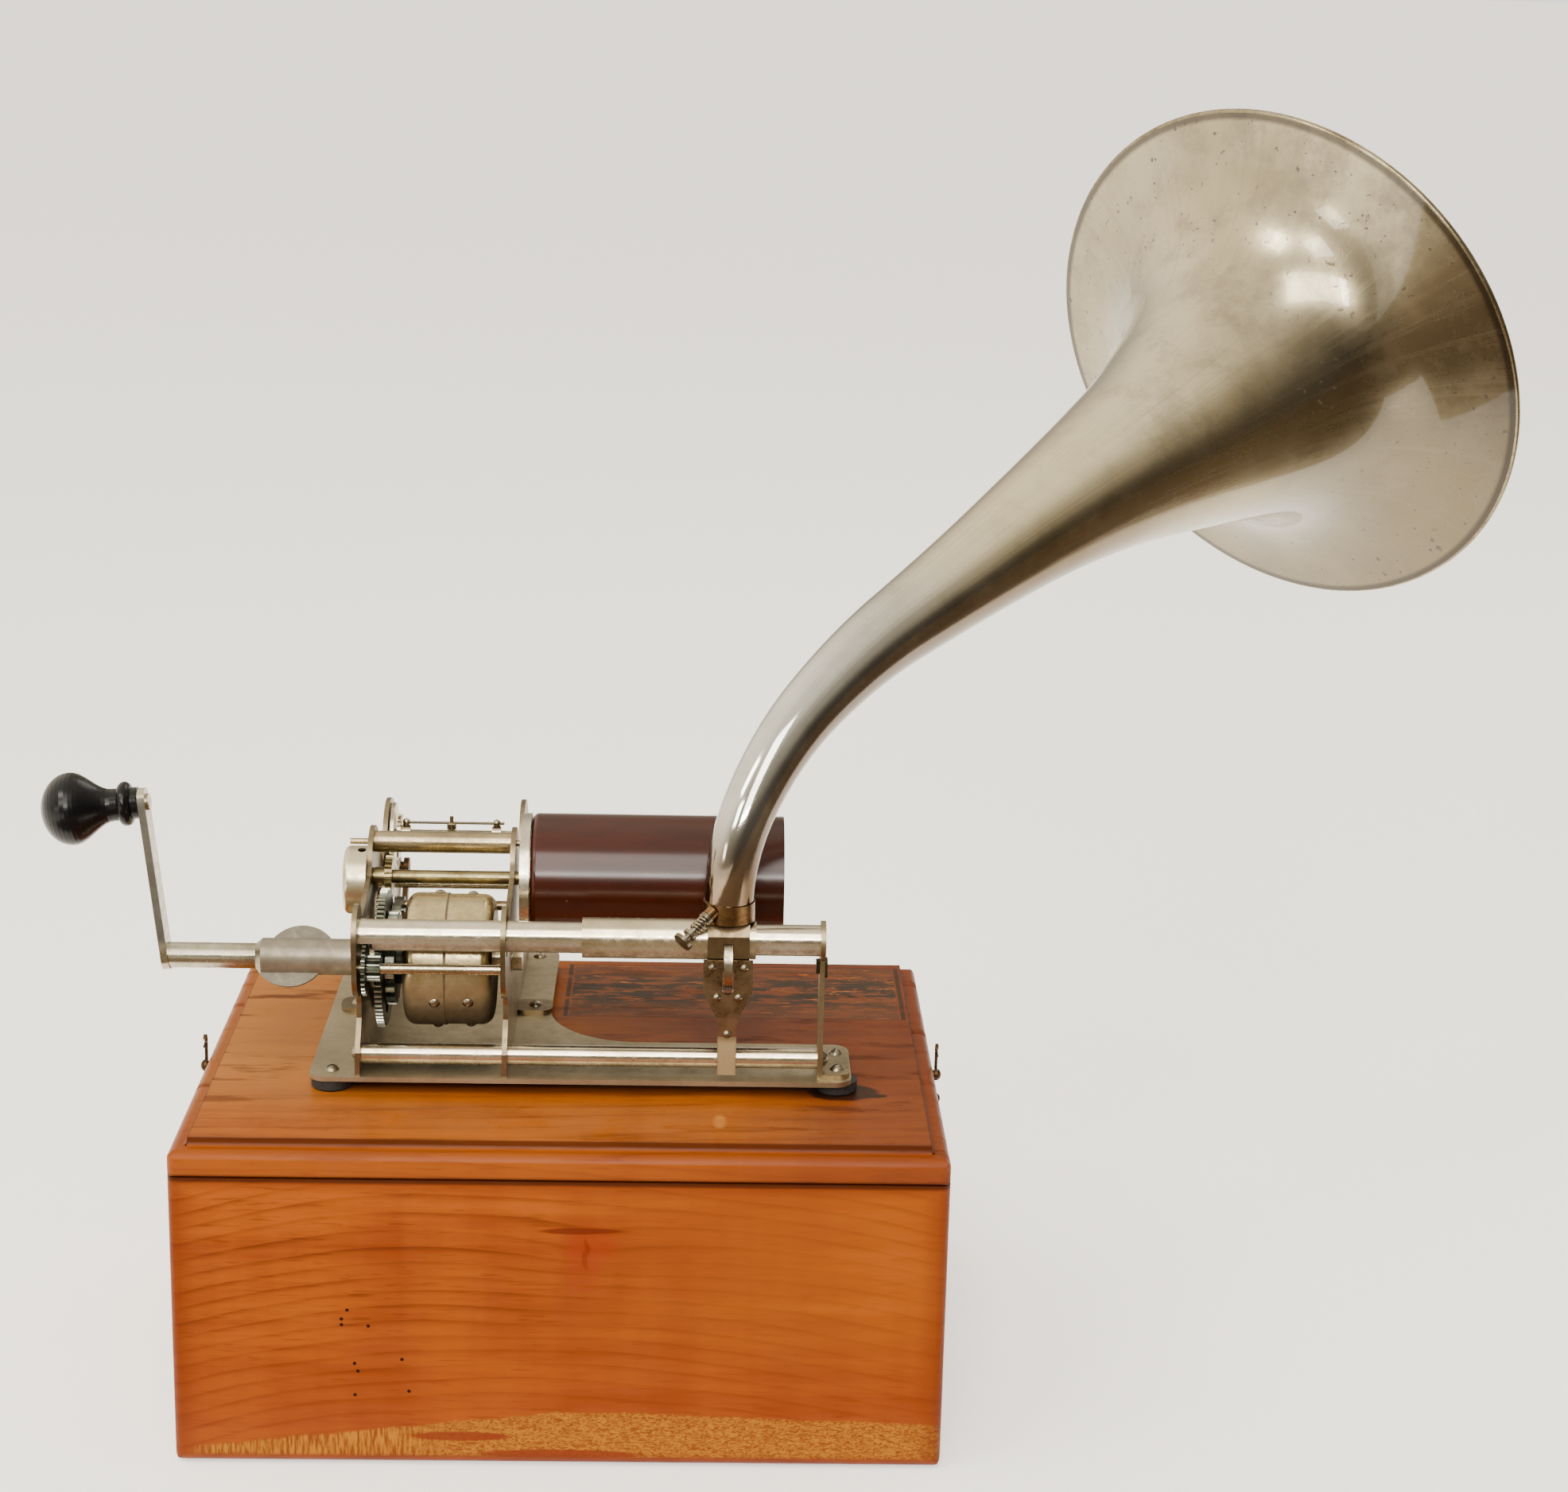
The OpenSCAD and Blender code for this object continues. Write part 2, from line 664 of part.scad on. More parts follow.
module plate_shape() {
    disc_at(tube_at, front_lobe_r);
    disc_at(front_at, shaft_lobe_r);
    polygon([[front_at[0] - shaft_lobe_r, front_at[1]], [tube_at[0] - front_lobe_r, tube_at[1]],
        [tube_at[0] + front_lobe_r, tube_at[1]], [front_at[0] + shaft_lobe_r, front_at[1]]]);
    disc_at(upper_lobe_at, upper_lobe_r);
    disc_at(rear_lobe_at, rear_lobe_r);
    waist_fill();
    polygon([[toe_y, base_top], [toe_y, base_top + 10], [waist_y, base_top + 22], [waist_y, front_at[1]],
        [tube_at[0] + 4, tube_at[1] + 3], [upper_lobe_at[0] - 41, upper_lobe_at[1] - 6.6],
        [upper_lobe_at[0] - 19, upper_lobe_at[1] - 1], [upper_lobe_at[0] - 14.5, upper_lobe_at[1] + 2.5],
        upper_lobe_at, [upper_lobe_at[0] + 13.5, upper_lobe_at[1] + 4], [saddle_y, rear_lobe_at[1] + 3.4],
        [rear_lobe_at[0] - 18.5, rear_lobe_at[1] + 9], rear_lobe_at,
        [rear_lobe_at[0] + rear_lobe_r, rear_lobe_at[1]], [rear_lobe_at[0] + rear_lobe_r, base_top]]);
}

module lug_shape(p) {
    round_rect(p[0] - lug_len / 2, p[1] - lug_w / 2, p[0] + lug_len / 2 + plate_t, p[1] + lug_w / 2, lug_w / 3);
}

module plate_lug(p, side) {
    mirror_x = side > 0 ? 1 : 0;
    difference() {
        translate([0, 0, base_top]) linear_extrude(plate_t) translate([p[0], 0]) mirror([mirror_x, 0])
            translate([-p[0], 0]) lug_shape(p);
        translate([p[0], p[1], base_top - more]) cylinder(h = plate_t + 2 * more, r = screw_r + seat_c);
    }
}

module plate_bores(x0, tube_bore, lower_bore, upper_bore) {
    bores = [[barrel_at, wind_r + run_c], [mandrel_at, shaft_r + run_c], [front_at, journal_r + run_c],
        [first_at, idler_r + run_c], [second_at, idler_r + run_c], [governor_at, governor_r + run_c],
        [tube_at, tube_bore], [lower_at, lower_bore], [upper_at, upper_bore]];
    for (b = bores) rod_x(x0 - more, plate_t + 2 * more, b[0], b[1]);
}

module left_plate() {
    color("#aaa494") difference() {
        union() {
            along_x(-left_face, plate_t) plate_shape();
            plate_lug(lug_xy[0], -1);
        }
        plate_bores(-left_face, journal_r + run_c, screw_r + seat_c, stud_r + seat_c);
        rod_x(-left_face - more, plate_t + 2 * more, brake_at, brake_r + run_c);
    }
}

module mid_plate() {
    color("#aaa494") difference() {
        union() {
            along_x(mid_x, plate_t) plate_shape();
            plate_lug(lug_xy[1], 1);
        }
        plate_bores(mid_x, sleeve_r + air, lower_r + seat_c, stud_r + seat_c);
    }
    color("#9a9484") {
        rod_x(ratchet_x - 0.4, mid_x - ratchet_x + 0.4 + more, click_at, screw_r);
        rod_x(ratchet_x + ratchet_t + air, mid_x - ratchet_x - ratchet_t - air + more, click_at, screw_r + 0.5);
    }
}

// Rods and tube

module upper_rod() {
    color("#b8b09c") {
        rod_x(left_in, plate_gap, upper_at, upper_r);
        rod_x(-left_face - stud_len, stud_len + plate_t + more, upper_at, stud_r);
        rod_x(mid_x - more, plate_t + 1.2 + more, upper_at, stud_r);
    }
}

module lower_rod() {
    color("#c2bba8") difference() {
        rod_x(left_in, tube_len, lower_at, lower_r);
        for (x = [left_in - more, bracket_x - 8]) rod_x(x, 8 + more, lower_at, screw_r + seat_c);
    }
}

module rod_screws() {
    color("#a8a294") {
        translate([-left_face, lower_at[0], lower_at[1]]) rotate([0, -90, 0])
            round_screw(screw_r, plate_t + 6, 2.9, 2.2, 40);
        translate([bracket_x + strap_t, lower_at[0], lower_at[1]]) rotate([0, 90, 0])
            round_screw(screw_r, strap_t + 6, 3.6, 2.6, 20);
    }
}

module guide_tube() {
    slot_w = 3;
    notch_end = great_x + 0.7;
    color("#c9c3b2") difference() {
        rod_x(left_in, tube_len, tube_at, tube_r);
        rod_x(left_in - more, tube_len + 2 * more, tube_at, tube_r - tube_t);
        translate([left_in - more, tube_at[0] - tube_r - more, tube_at[1] - tube_r - more])
            cube([notch_end - left_in + more, 2 * tube_r + 2 * more, tube_r - 1]);
        translate([mid_out, tube_at[0], tube_at[1] - slot_w / 2])
            cube([bracket_x - mid_out - 6, tube_r + more, slot_w]);
    }
}

module bracket() {
    foot_end = base_right - bracket_x - 0.8;
    strap_y0 = lower_at[0] - lower_r - 1.2;
    foot_y1 = bracket_screw_xy[1][1] + 7;
    color("#b3ad9d") difference() {
        union() {
            along_x(bracket_x, strap_t) {
                translate([strap_y0, base_top]) square([strap_w, tube_at[1] - base_top]);
                disc_at(tube_at, tube_r + 1.8);
            }
            translate([0, 0, base_top]) linear_extrude(strap_t) difference() {
                round_rect(bracket_x - 4, strap_y0, bracket_x + foot_end, foot_y1, 4);
                translate([bracket_x - 10, strap_y0 - more]) square([10, foot_y1 - strap_y0 + 2 * more]);
            }
        }
        rod_x(bracket_x - more, strap_t + 2 * more, tube_at, journal_r + run_c);
        rod_x(bracket_x - more, strap_t + 2 * more, lower_at, screw_r + seat_c);
        rod_x(bracket_x - more, strap_t + 2 * more, clip_at, 1 + seat_c);
        for (p = bracket_screw_xy)
            translate([p[0], p[1], base_top - more]) cylinder(h = strap_t + 2 * more, r = screw_r + seat_c);
    }
}

clip_at = [tube_at[0], tube_at[1] - tube_r - 4.5];

module bracket_clip() {
    color("#3c3a33") {
        rod_x(bracket_x - 0.2, strap_t + 0.4, clip_at, 1);
        along_x(bracket_x + strap_t, 1) round_rect(clip_at[0] - 2.4, clip_at[1] - 4.6,
            clip_at[0] + 2.4, clip_at[1] + 3.4, 1);
        along_x(bracket_x - 1.6, 1.6) polygon([[clip_at[0] - 2, clip_at[1] + 2.6],
            [clip_at[0] + 2, clip_at[1] + 2.6], [clip_at[0] + 1.2, clip_at[1] - 3], [clip_at[0] - 1.2, clip_at[1] - 3]]);
    }
}

// Winding: barrel, ratchet, shaft and crank

barrel_seam = barrel_len * 0.473;
lap_step = 0.4;
barrel_screw_angles = [203, 255, 75];
sleeve_out_r = wind_r + run_c + sleeve_wall;

module barrel_left() {
    color("#b4ab97") difference() {
        turn_x(barrel_x, barrel_at) cup_half(barrel_seam, barrel_r, barrel_t, barrel_round, sleeve_out_r + air);
        barrel_screw_holes(0);
    }
}

module barrel_right() {
    len = barrel_len - barrel_seam;
    color("#b4ab97") difference() {
        translate([2 * (barrel_x + barrel_len), 0, 0] / 2) mirror([1, 0, 0]) turn_x(0, barrel_at)
            cup_half(len, barrel_r - lap_step, barrel_t, barrel_round, wind_r + seat_c);
        barrel_screw_holes(1);
    }
}

// Local frame of a barrel screw: z points outwards on the drum's skin
module barrel_screw_at(half, a) {
    x = barrel_x + (half == 0 ? barrel_seam - 4 : barrel_seam + 9.9);
    r = half == 0 ? barrel_r : barrel_r - lap_step;
    p = polar(barrel_at, r, a);
    translate([x, p[0], p[1]]) rotate([a - 90, 0, 0]) children();
}

module barrel_screw_holes(half) {
    for (a = barrel_screw_angles) barrel_screw_at(half, a) translate([0, 0, -3]) cylinder(h = 6, r = 1.1 + seat_c);
}

module barrel_screws() {
    color("#9d9686") for (half = [0, 1], a = barrel_screw_angles) barrel_screw_at(half, a)
        round_screw(1.1, barrel_t - 0.15, 2.3, 1.2, 50 + a);
}

spring_in = sleeve_out_r + spring_t / 2 + air;
spring_out = barrel_r - lap_step - barrel_t - spring_t / 2 - 0.8;
spring_steps = 20;
function spiral(k, side) =
    let (f = k / (spring_turns * spring_steps), r = spring_in + (spring_out - spring_in) * f + side * spring_t / 2)
    polar(barrel_at, r, k * 360 / spring_steps);
spring_gap = (spring_out - spring_in) / spring_turns - spring_t;
echo(main_spring_gap = spring_gap);

module main_spring() {
    last = spring_turns * spring_steps;
    color("#6f747a") along_x(barrel_x + barrel_t + 2, barrel_len - 2 * barrel_t - 4)
        polygon(concat([for (k = [0 : last]) spiral(k, 1)], [for (k = [last : -1 : 0]) spiral(k, -1)]));
}

module ratchet_wheel() {
    step = 360 / ratchet_teeth;
    color("#4d5148") difference() {
        union() {
            along_x(ratchet_x, ratchet_t) {
                disc_at(barrel_at, ratchet_r - ratchet_deep);
                for (k = [0 : ratchet_teeth - 1]) polygon([polar(barrel_at, ratchet_r - ratchet_deep - 1, k * step),
                    polar(barrel_at, ratchet_r, k * step), polar(barrel_at, ratchet_r, (k + 0.35) * step),
                    polar(barrel_at, ratchet_r - ratchet_deep - 1, (k + 0.75) * step)]);
            }
            rod_x(ratchet_x, barrel_x - ratchet_x, barrel_at, 11);
        }
        rod_x(ratchet_x - more, barrel_x - ratchet_x + 2 * more, barrel_at, sleeve_out_r + air);
    }
}

key_x1 = -left_face - key_gap;
key_x0 = key_x1 - key_len;
shaft_x0 = key_x1 - key_len * 0.6;
nut_gap = 0.3;
nut_t = 4;

module winding_shaft() {
    color("#a39c8b") {
        rod_x(shaft_x0, mid_out + nut_gap + nut_t - shaft_x0, barrel_at, wind_r);
        translate([mid_out + nut_gap, barrel_at[0], barrel_at[1]]) rotate([0, 90, 0])
            cylinder(h = nut_t, r = wind_r + 1, $fn = 6);
        rod_x(mid_x - nut_gap - 2, 2, barrel_at, wind_r + 1.5);
    }
}

module wing_shape() {
    ear_r = 15.6;
    difference() {
        translate([0, wing_reach - ear_r]) circle(ear_r);
        translate([-2 * ear_r, wind_r + 1.2 - 4 * ear_r]) square(4 * ear_r);
    }
}

module wing_key() {
    wing_t = 1.2;
    middle = (key_x0 + key_x1) / 2;
    color("#aca593") difference() {
        union() {
            rod_x(key_x0, key_len, barrel_at, key_r);
            turn_x(key_x0 - 2.5, barrel_at) polygon([[0, 0], [crank_r, 0], [crank_r + 0.8, 0.8], [key_r, 2.5], [0, 2.5]]);
            for (w = [[0, -3.3], [180, -8]]) translate([middle + w[1] - 1, barrel_at[0], barrel_at[1]])
                rotate([wing_tilt + w[0], 0, 0]) translate([0, 0, -wing_t / 2]) linear_extrude(wing_t)
                    wing_shape();
        }
        rod_x(shaft_x0 - 0.2, key_x1 - shaft_x0 + more, barrel_at, wind_r + seat_c);
    }
}

rod_x1 = key_x0 - 2.5;
rod_x0 = rod_x1 - crank_len;

// Local frame of the crank arm: z up along the arm, x across its thickness
module arm_frame() {
    translate([rod_x0, barrel_at[0], barrel_at[1]]) rotate([0, -arm_lean, 0]) children();
}

module arm_shape() {
    disc_at([0, 0], arm_w / 2);
    disc_at([0, arm_len], arm_w / 2);
    translate([-arm_w / 2, 0]) square([arm_w, arm_len]);
}

spindle_len = knob_len - 5.5;

module crank() {
    color("#b0a997") {
        difference() {
            rod_x(rod_x0 - 2, crank_len + 2, barrel_at, crank_r);
            arm_frame() translate([-arm_t - 20, -20, -20]) cube([20, 40, 40]);
        }
        arm_frame() {
            along_x(-arm_t, arm_t) arm_shape();
            translate([-arm_t - spindle_len, 0, arm_len]) rotate([0, 90, 0])
                cylinder(h = spindle_len + arm_t, r = spindle_r);
            translate([0, 0, arm_len]) rotate([0, 90, 0]) cylinder(h = 1.2, r = spindle_r + 1);
        }
    }
}

// Outline of the knob: collar, bead, waist, then a pear that ends in a half ellipse
knob_waist = [bead_r - 2.5, 0.27 * knob_len];
knob_belly = 0.69 * knob_len;
knob_steps = 10;

function pear_side(f) = [knob_waist[0] + (knob_r - knob_waist[0]) * (1 - cos(180 * f)) / 2,
    knob_waist[1] + (knob_belly - knob_waist[1]) * f];
function pear_end(f) = [knob_r * cos(90 * f), knob_belly + (knob_len - knob_belly) * sin(90 * f)];

module knob() {
    bead_h = 2.75;
    color("#17171a") arm_frame() translate([-arm_t - air, 0, arm_len]) rotate([0, -90, 0]) difference() {
        union() {
            cylinder(h = 4, r = bead_r - 2.7);
            translate([0, 0, bead_h]) cylinder(h = knob_waist[1] - bead_h, r = knob_waist[0]);
            translate([0, 0, 2 * bead_h]) rotate_extrude() translate([bead_r - bead_h, 0]) circle(bead_h);
            translate([0, 0, bead_h + 0.1]) cylinder(h = 2 * bead_h - 0.2, r = bead_r - bead_h);
            rotate_extrude() polygon(concat([[0, knob_waist[1] - 1], [knob_waist[0], knob_waist[1] - 1]],
                [for (k = [0 : knob_steps]) pear_side(k / knob_steps)],
                [for (k = [1 : knob_steps - 1]) pear_end(k / knob_steps)], [[0, knob_len]]));
        }
        translate([0, 0, -more]) cylinder(h = spindle_len + air + more, r = spindle_r + run_c);
    }
}

// Click that holds the ratchet, on a rod from the middle plate

click_tip = polar(barrel_at, ratchet_r + 0.4, click_angle + 30);

module click() {
    ang = atan2(click_tip[1] - click_at[1], click_tip[0] - click_at[0]);
    len = norm(click_tip - click_at);
    color("#55534a") difference() {
        union() {
            rod_x(ratchet_x, ratchet_t, click_at, 3.4);
            along_x(ratchet_x, ratchet_t) translate(click_at) rotate(ang)
                polygon([[0.5, -2.8], [0.5, 2.6], [len * 0.8, 0.2], [len, 0], [len - 1, -2.2]]);
        }
        rod_x(ratchet_x - more, ratchet_t + 2 * more, click_at, screw_r + run_c);
    }
}

// Drive train

module great_wheel() {
    color("#5a5c4e") difference() {
        gear_x(great_x, great_t, barrel_at, great_teeth, gear_m, 0);
        rod_x(great_x - more, great_t + 2 * more, barrel_at, sleeve_out_r + seat_c);
        for (k = [0 : 4]) rod_x(great_x - more, great_t + 2 * more, polar(barrel_at, 17, 36 + 72 * k), 6.5);
    }
}

module drive_sleeve() {
    sleeve_end = barrel_x + barrel_len - barrel_t - 1;
    color("#8f8a7c") difference() {
        rod_x(great_x, sleeve_end - great_x, barrel_at, sleeve_out_r);
        rod_x(great_x - more, sleeve_end - great_x + 2 * more, barrel_at, wind_r + run_c);
    }
}

front_pinion_x = great_x - 1.9;
front_pinion_t = great_t + 2.2;

module front_shaft() {
    color("#beb6a2") {
        rod_x(left_in + 0.2, plate_gap - 0.4, front_at, front_r);
        rod_x(-left_face, plate_gap + 2 * plate_t, front_at, journal_r);
    }
}

module front_pinion() {
    color("#44564a") difference() {
        gear_x(front_pinion_x, front_pinion_t, front_at, pinion_teeth, gear_m, front_turn);
        rod_x(front_pinion_x - more, front_pinion_t + 2 * more, front_at, front_r + seat_c);
    }
}

module front_gear() {
    color("#4a5248") difference() {
        gear_x(thin_x, thin_gear_t, front_at, front_teeth, gear_m, front_turn);
        rod_x(thin_x - more, thin_gear_t + 2 * more, front_at, front_r + seat_c);
    }
}

module feed_screw() {
    color("#8d897c") {
        rod_x(-left_face, tube_len + plate_t + strap_t, tube_at, journal_r);
        rod_x(left_in + 0.3, tube_len - 0.6, tube_at, feed_r);
        gear_x(thin_x, thin_gear_t, tube_at, feed_teeth, gear_m, feed_turn);
    }
}

// Wheel with a ring of round openings
module light_wheel(x0, at, teeth, turn, ring_r, hole_r) {
    difference() {
        gear_x(x0, thin_gear_t, at, teeth, fine_m, turn);
        for (k = [0 : 4]) rod_x(x0 - more, thin_gear_t + 2 * more, polar(at, ring_r, 72 * k), hole_r);
    }
}

module first_idler() {
    color("#8a7440") {
        rod_x(-left_face, plate_gap + 2 * plate_t, first_at, idler_r);
        gear_x(great_x, great_t, first_at, pinion_teeth, gear_m, first_turn);
        light_wheel(thin_x, first_at, first_teeth, first_turn, 16, 6.4);
    }
}

module second_idler() {
    color("#8a7440") {
        rod_x(-left_face, plate_gap + 2 * plate_t, second_at, idler_r);
        gear_x(thin_x, thin_gear_t, second_at, second_pinion, fine_m, second_turn);
        light_wheel(second_x, second_at, second_teeth, second_turn, 12, 4.4);
    }
}

// Mandrel and record

drum_len = record_len - 1;
drum_end = drum_x + flange_w + drum_len;

module mandrel_shaft() {
    color("#b39b5e") {
        rod_x(-left_face - 5, left_face + 5 + drum_end, mandrel_at, shaft_r);
        gear_x(great_x, great_t, mandrel_at, mandrel_teeth, gear_m, mandrel_turn);
        rod_x(left_in + 0.4, great_x - left_in - 0.4, mandrel_at, shaft_r + 1);
    }
}

module mandrel() {
    in_big = mandrel_big - mandrel_wall;
    in_small = mandrel_small - mandrel_wall;
    bore = shaft_r + seat_c;
    end = flange_w + drum_len;
    color("#cfcabb") turn_x(drum_x, mandrel_at) polygon([[bore, 0], [record_r, 0], [record_r, flange_w],
        [mandrel_big, flange_w], [mandrel_small, end], [in_small, end], [in_small, end - 6], [bore + 4, end - 6],
        [bore + 4, end - 4], [bore, end - 4], [bore, end - 10], [in_small, end - 10], [in_big, flange_w + 3],
        [bore, flange_w + 3]]);
}

module record() {
    lip = 2.5;
    color("#4a2a20") turn_x(record_x, mandrel_at) difference() {
        union() {
            square([record_r - lip, record_len]);
            translate([0, lip]) square([record_r, record_len - lip]);
            intersection() {
                translate([record_r - lip, lip]) circle(lip);
                square([record_r, record_len]);
            }
        }
        polygon([[0, -air], [mandrel_big + air, -air], [mandrel_small + air, drum_len - air],
            [mandrel_small + air, record_len + more], [0, record_len + more]]);
    }
}

module bearing_cup() {
    color("#b7b0a0") difference() {
        turn_x(-left_face - cup_d, cup_at) cup_half(cup_d, cup_r, 1, 2.5, 0);
        translate([-left_face - 2.4, cup_at[0], cup_at[1]]) rotate([12, 0, 0]) cylinder(h = 2 * cup_r, r = 1.8);
    }
}

// Governor and brake

disc_x = left_in + 0.7;
disc_t = 1.6;
hub_r = flyer_r - 1.2;
hub_len = 4;
flyer_x0 = second_x + thin_gear_t + 2;
flyer_x1 = mid_x - 11;

module governor_shaft() {
    color("#9b958a") {
        rod_x(-left_face, plate_gap + 2 * plate_t, governor_at, governor_r);
        gear_x(second_x, thin_gear_t, governor_at, governor_teeth, fine_m, governor_turn);
        rod_x(second_x + thin_gear_t - 0.1, hub_len, governor_at, hub_r);
        rod_x(flyer_x1 - hub_len / 2, hub_len, governor_at, hub_r);
    }
}

module friction_disc() {
    color("#a29b8a") difference() {
        rod_x(disc_x, disc_t, governor_at, disc_r);
        rod_x(disc_x - more, disc_t + 2 * more, governor_at, governor_r + seat_c);
    }
}

// Local frame of a governor spring: z points outwards, x along the shaft
module flyer_at(k) {
    translate([0, governor_at[0], governor_at[1]]) rotate([k * 360 / flyers, 0, 0]) children();
}

flyer_t = 0.5;
flyer_w = 2.6;
weight_x = (flyer_x0 + flyer_x1) / 2;
weight_pin_r = 0.9;

module governor_springs() {
    color("#77736a") for (k = [0 : flyers - 1]) flyer_at(k) {
        difference() {
            translate([flyer_x0 - 1.4, -flyer_w / 2, flyer_r]) cube([flyer_x1 - flyer_x0 + 4.9, flyer_w, flyer_t]);
            translate([weight_x, 0, 0]) cylinder(h = 2 * flyer_r, r = weight_pin_r + seat_c);
        }
        for (x = [flyer_x0, flyer_x1]) translate([x, 0, 0]) {
            translate([0, 0, hub_r]) cylinder(h = flyer_r - hub_r + 0.1, r = 1.6);
            translate([0, 0, flyer_r + flyer_t]) sphere(1.7);
        }
    }
}

module governor_weights() {
    color("#8a8478") for (k = [0 : flyers - 1]) flyer_at(k) translate([weight_x, 0, 0]) {
        translate([0, 0, flyer_r - 2.5]) cylinder(h = 2.5 - seat_c, r = 2.2);
        translate([0, 0, flyer_r - 1]) cylinder(h = flyer_t + 3.8, r = weight_pin_r);
    }
}

brake_r = 1.9;
brake_left = 24.5;
brake_x = great_x + air;
brake_t = 2.4;
pad_r = 3;
brake_pad = polar(governor_at, disc_r + air + pad_r, -88);

// Rod through the left plate with a lever, whose pad lies under the edge of the friction disc
module brake_lever() {
    brake_dir = atan2(brake_pad[1] - brake_at[1], brake_pad[0] - brake_at[0]);
    brake_len = norm(brake_pad - brake_at);
    color("#6b4a34") {
        rod_x(brake_x, brake_t, brake_at, 4.2);
        rod_x(brake_x, brake_t, brake_pad, 4.8);
        along_x(brake_x, brake_t) translate(brake_at) rotate(brake_dir)
            polygon([[0, -3], [brake_len, -2.6], [brake_len, 2.6], [0, 3]]);
        rod_x(disc_x, brake_x + 1 - disc_x, brake_pad, pad_r);
        rod_x(-left_face - brake_left, brake_x + brake_t + 0.8 + left_face + brake_left, brake_at, brake_r);
        rod_x(-left_face - air - 1.6, 1.6, brake_at, brake_r + 1.2);
    }
}

// Carriage

carriage_bore = tube_r + 0.06;

yoke_bore = tube_r + 0.7;
collar_w = 2.7;

module carriage_sleeve() {
    color("#d0cab9") difference() {
        union() {
            rod_x(yoke_x0 - sleeve_len, sleeve_len, tube_at, sleeve_r);
            rod_x(yoke_x0 - more, yoke_w + 2 * more, tube_at, yoke_bore);
            rod_x(yoke_x0 + yoke_w, collar_w, tube_at, sleeve_r - 0.3);
        }
        rod_x(yoke_x0 - sleeve_len - more, sleeve_len + yoke_w + collar_w + 2 * more, tube_at, carriage_bore);
        translate([yoke_x - nut_w / 2 - seat_c, tube_at[0], tube_at[1] - nut_h / 2 - seat_c])
            cube([nut_w + 2 * seat_c, 2 * tube_r, nut_h + 2 * seat_c]);
    }
}

nut_w = 8;
nut_h = 2.4;
case_r = 9;
case_y0 = record_front - 8.3;
stylus_tip_y = record_front - air;

module yoke() {
    color("#b9ae98") {
        difference() {
            union() {
                along_x(yoke_x0, yoke_w)
                    polygon([[yoke_front, yoke_low + 2.4], [yoke_front, yoke_top - 5], [yoke_front + 3.4, yoke_top],
                        [yoke_back, yoke_top], [yoke_back, yoke_low + 2.4], [yoke_back - 2.4, yoke_low],
                        [yoke_front + 2.4, yoke_low]]);
                translate([yoke_x, tube_at[0], yoke_top - 0.5]) cylinder(h = collar_h, r = post_r);
            }
            rod_x(yoke_x0 - more, yoke_w + 2 * more, tube_at, yoke_bore + seat_c);
            translate([yoke_x, tube_at[0], yoke_top]) cylinder(h = collar_h, r = post_r - 1.2);
            translate([yoke_x - 2.2, yoke_front - more, tube_at[1] - 4.5]) cube([4.4, 1 + more, 6]);
        }
        translate([yoke_x - nut_w / 2, tube_at[0] + feed_r + air, tube_at[1] - nut_h / 2])
            cube([nut_w, yoke_back - 1 - tube_at[0] - feed_r - air, nut_h]);
    }
}

// Local frame of the leg: origin at the yoke's lower front edge, z down along the leg, y to the back
module leg_frame() {
    translate([yoke_x, yoke_front, yoke_low]) rotate([leg_lean, 0, 0]) mirror([0, 0, 1]) children();
}

leg_shoulder = 12;
leg_neck = 24;

module leg_outline() {
    a = leg_top_w / 2;
    b = leg_foot_w / 2;
    difference() {
        polygon([[-a, -2], [a, -2], [a, leg_shoulder], [b + 0.8, leg_neck], [b, leg_neck + 4], [b, leg_len],
            [-b, leg_len], [-b, leg_neck + 4], [-b - 0.8, leg_neck], [-a, leg_shoulder]]);
        translate([-2.3, 3]) square([4.6, 8]);
        disc_at([0, 11], 2.3);
    }
}

leg_rivet_at = [[-6.6, 1], [6.6, 1], [-4.4, 14.6], [4.4, 14.6], [0, 31.5]];

module leg_plate() {
    guide_r = lower_r + air;
    color("#aaa28e") {
        leg_frame() rotate([-90, 0, 0]) mirror([0, 1, 0]) translate([0, 0, -leg_t]) linear_extrude(leg_t)
            leg_outline();
        translate([yoke_x0, yoke_front - 0.6, yoke_low - leg_t]) cube([yoke_w, 14, leg_t]);
        along_x(yoke_x - leg_foot_w / 2, leg_foot_w) difference() {
            translate([lower_at[0] - guide_r - 2.6, lower_at[1]]) square([2 * guide_r + 4, guide_r + 1.4]);
            disc_at(lower_at, guide_r);
        }
    }
}

module leg_rivets() {
    color("#b8b1a0") for (p = leg_rivet_at) leg_frame() translate([p[0], -leg_t - seat_c, p[1]]) rotate([90, 0, 0])
        intersection() {
            translate([0, 0, -0.6]) sphere(2);
            cylinder(h = 3, r = 1.7);
        }
}

module leaf_spring() {
    bow = 11;
    mid_z = yoke_low - 1;
    color("#d8d3c6") along_x(yoke_x - 1.75, 3.5) intersection() {
        difference() {
            disc_at([yoke_front + 6, mid_z], bow);
            disc_at([yoke_front + 6, mid_z], bow - 0.7);
        }
        translate([yoke_front - 8, mid_z - 9]) square([8 - seat_c, 18]);
    }
}

module reproducer() {
    arm_w = 9;
    arm_h = 5;
    color("#a79f8c") {
        translate([yoke_x - arm_w / 2, yoke_back, tube_at[1] - 0.6])
            cube([arm_w, case_y0 + 0.5 - yoke_back, arm_h]);
        translate([yoke_x, case_y0, mandrel_at[1]]) rotate([-90, 0, 0]) difference() {
            cylinder(h = 4.5, r = case_r);
            translate([0, 0, 1]) cylinder(h = 2, r = case_r - 1);
            translate([0, 0, 2]) cylinder(h = 3, r = case_r - 2);
        }
    }
}

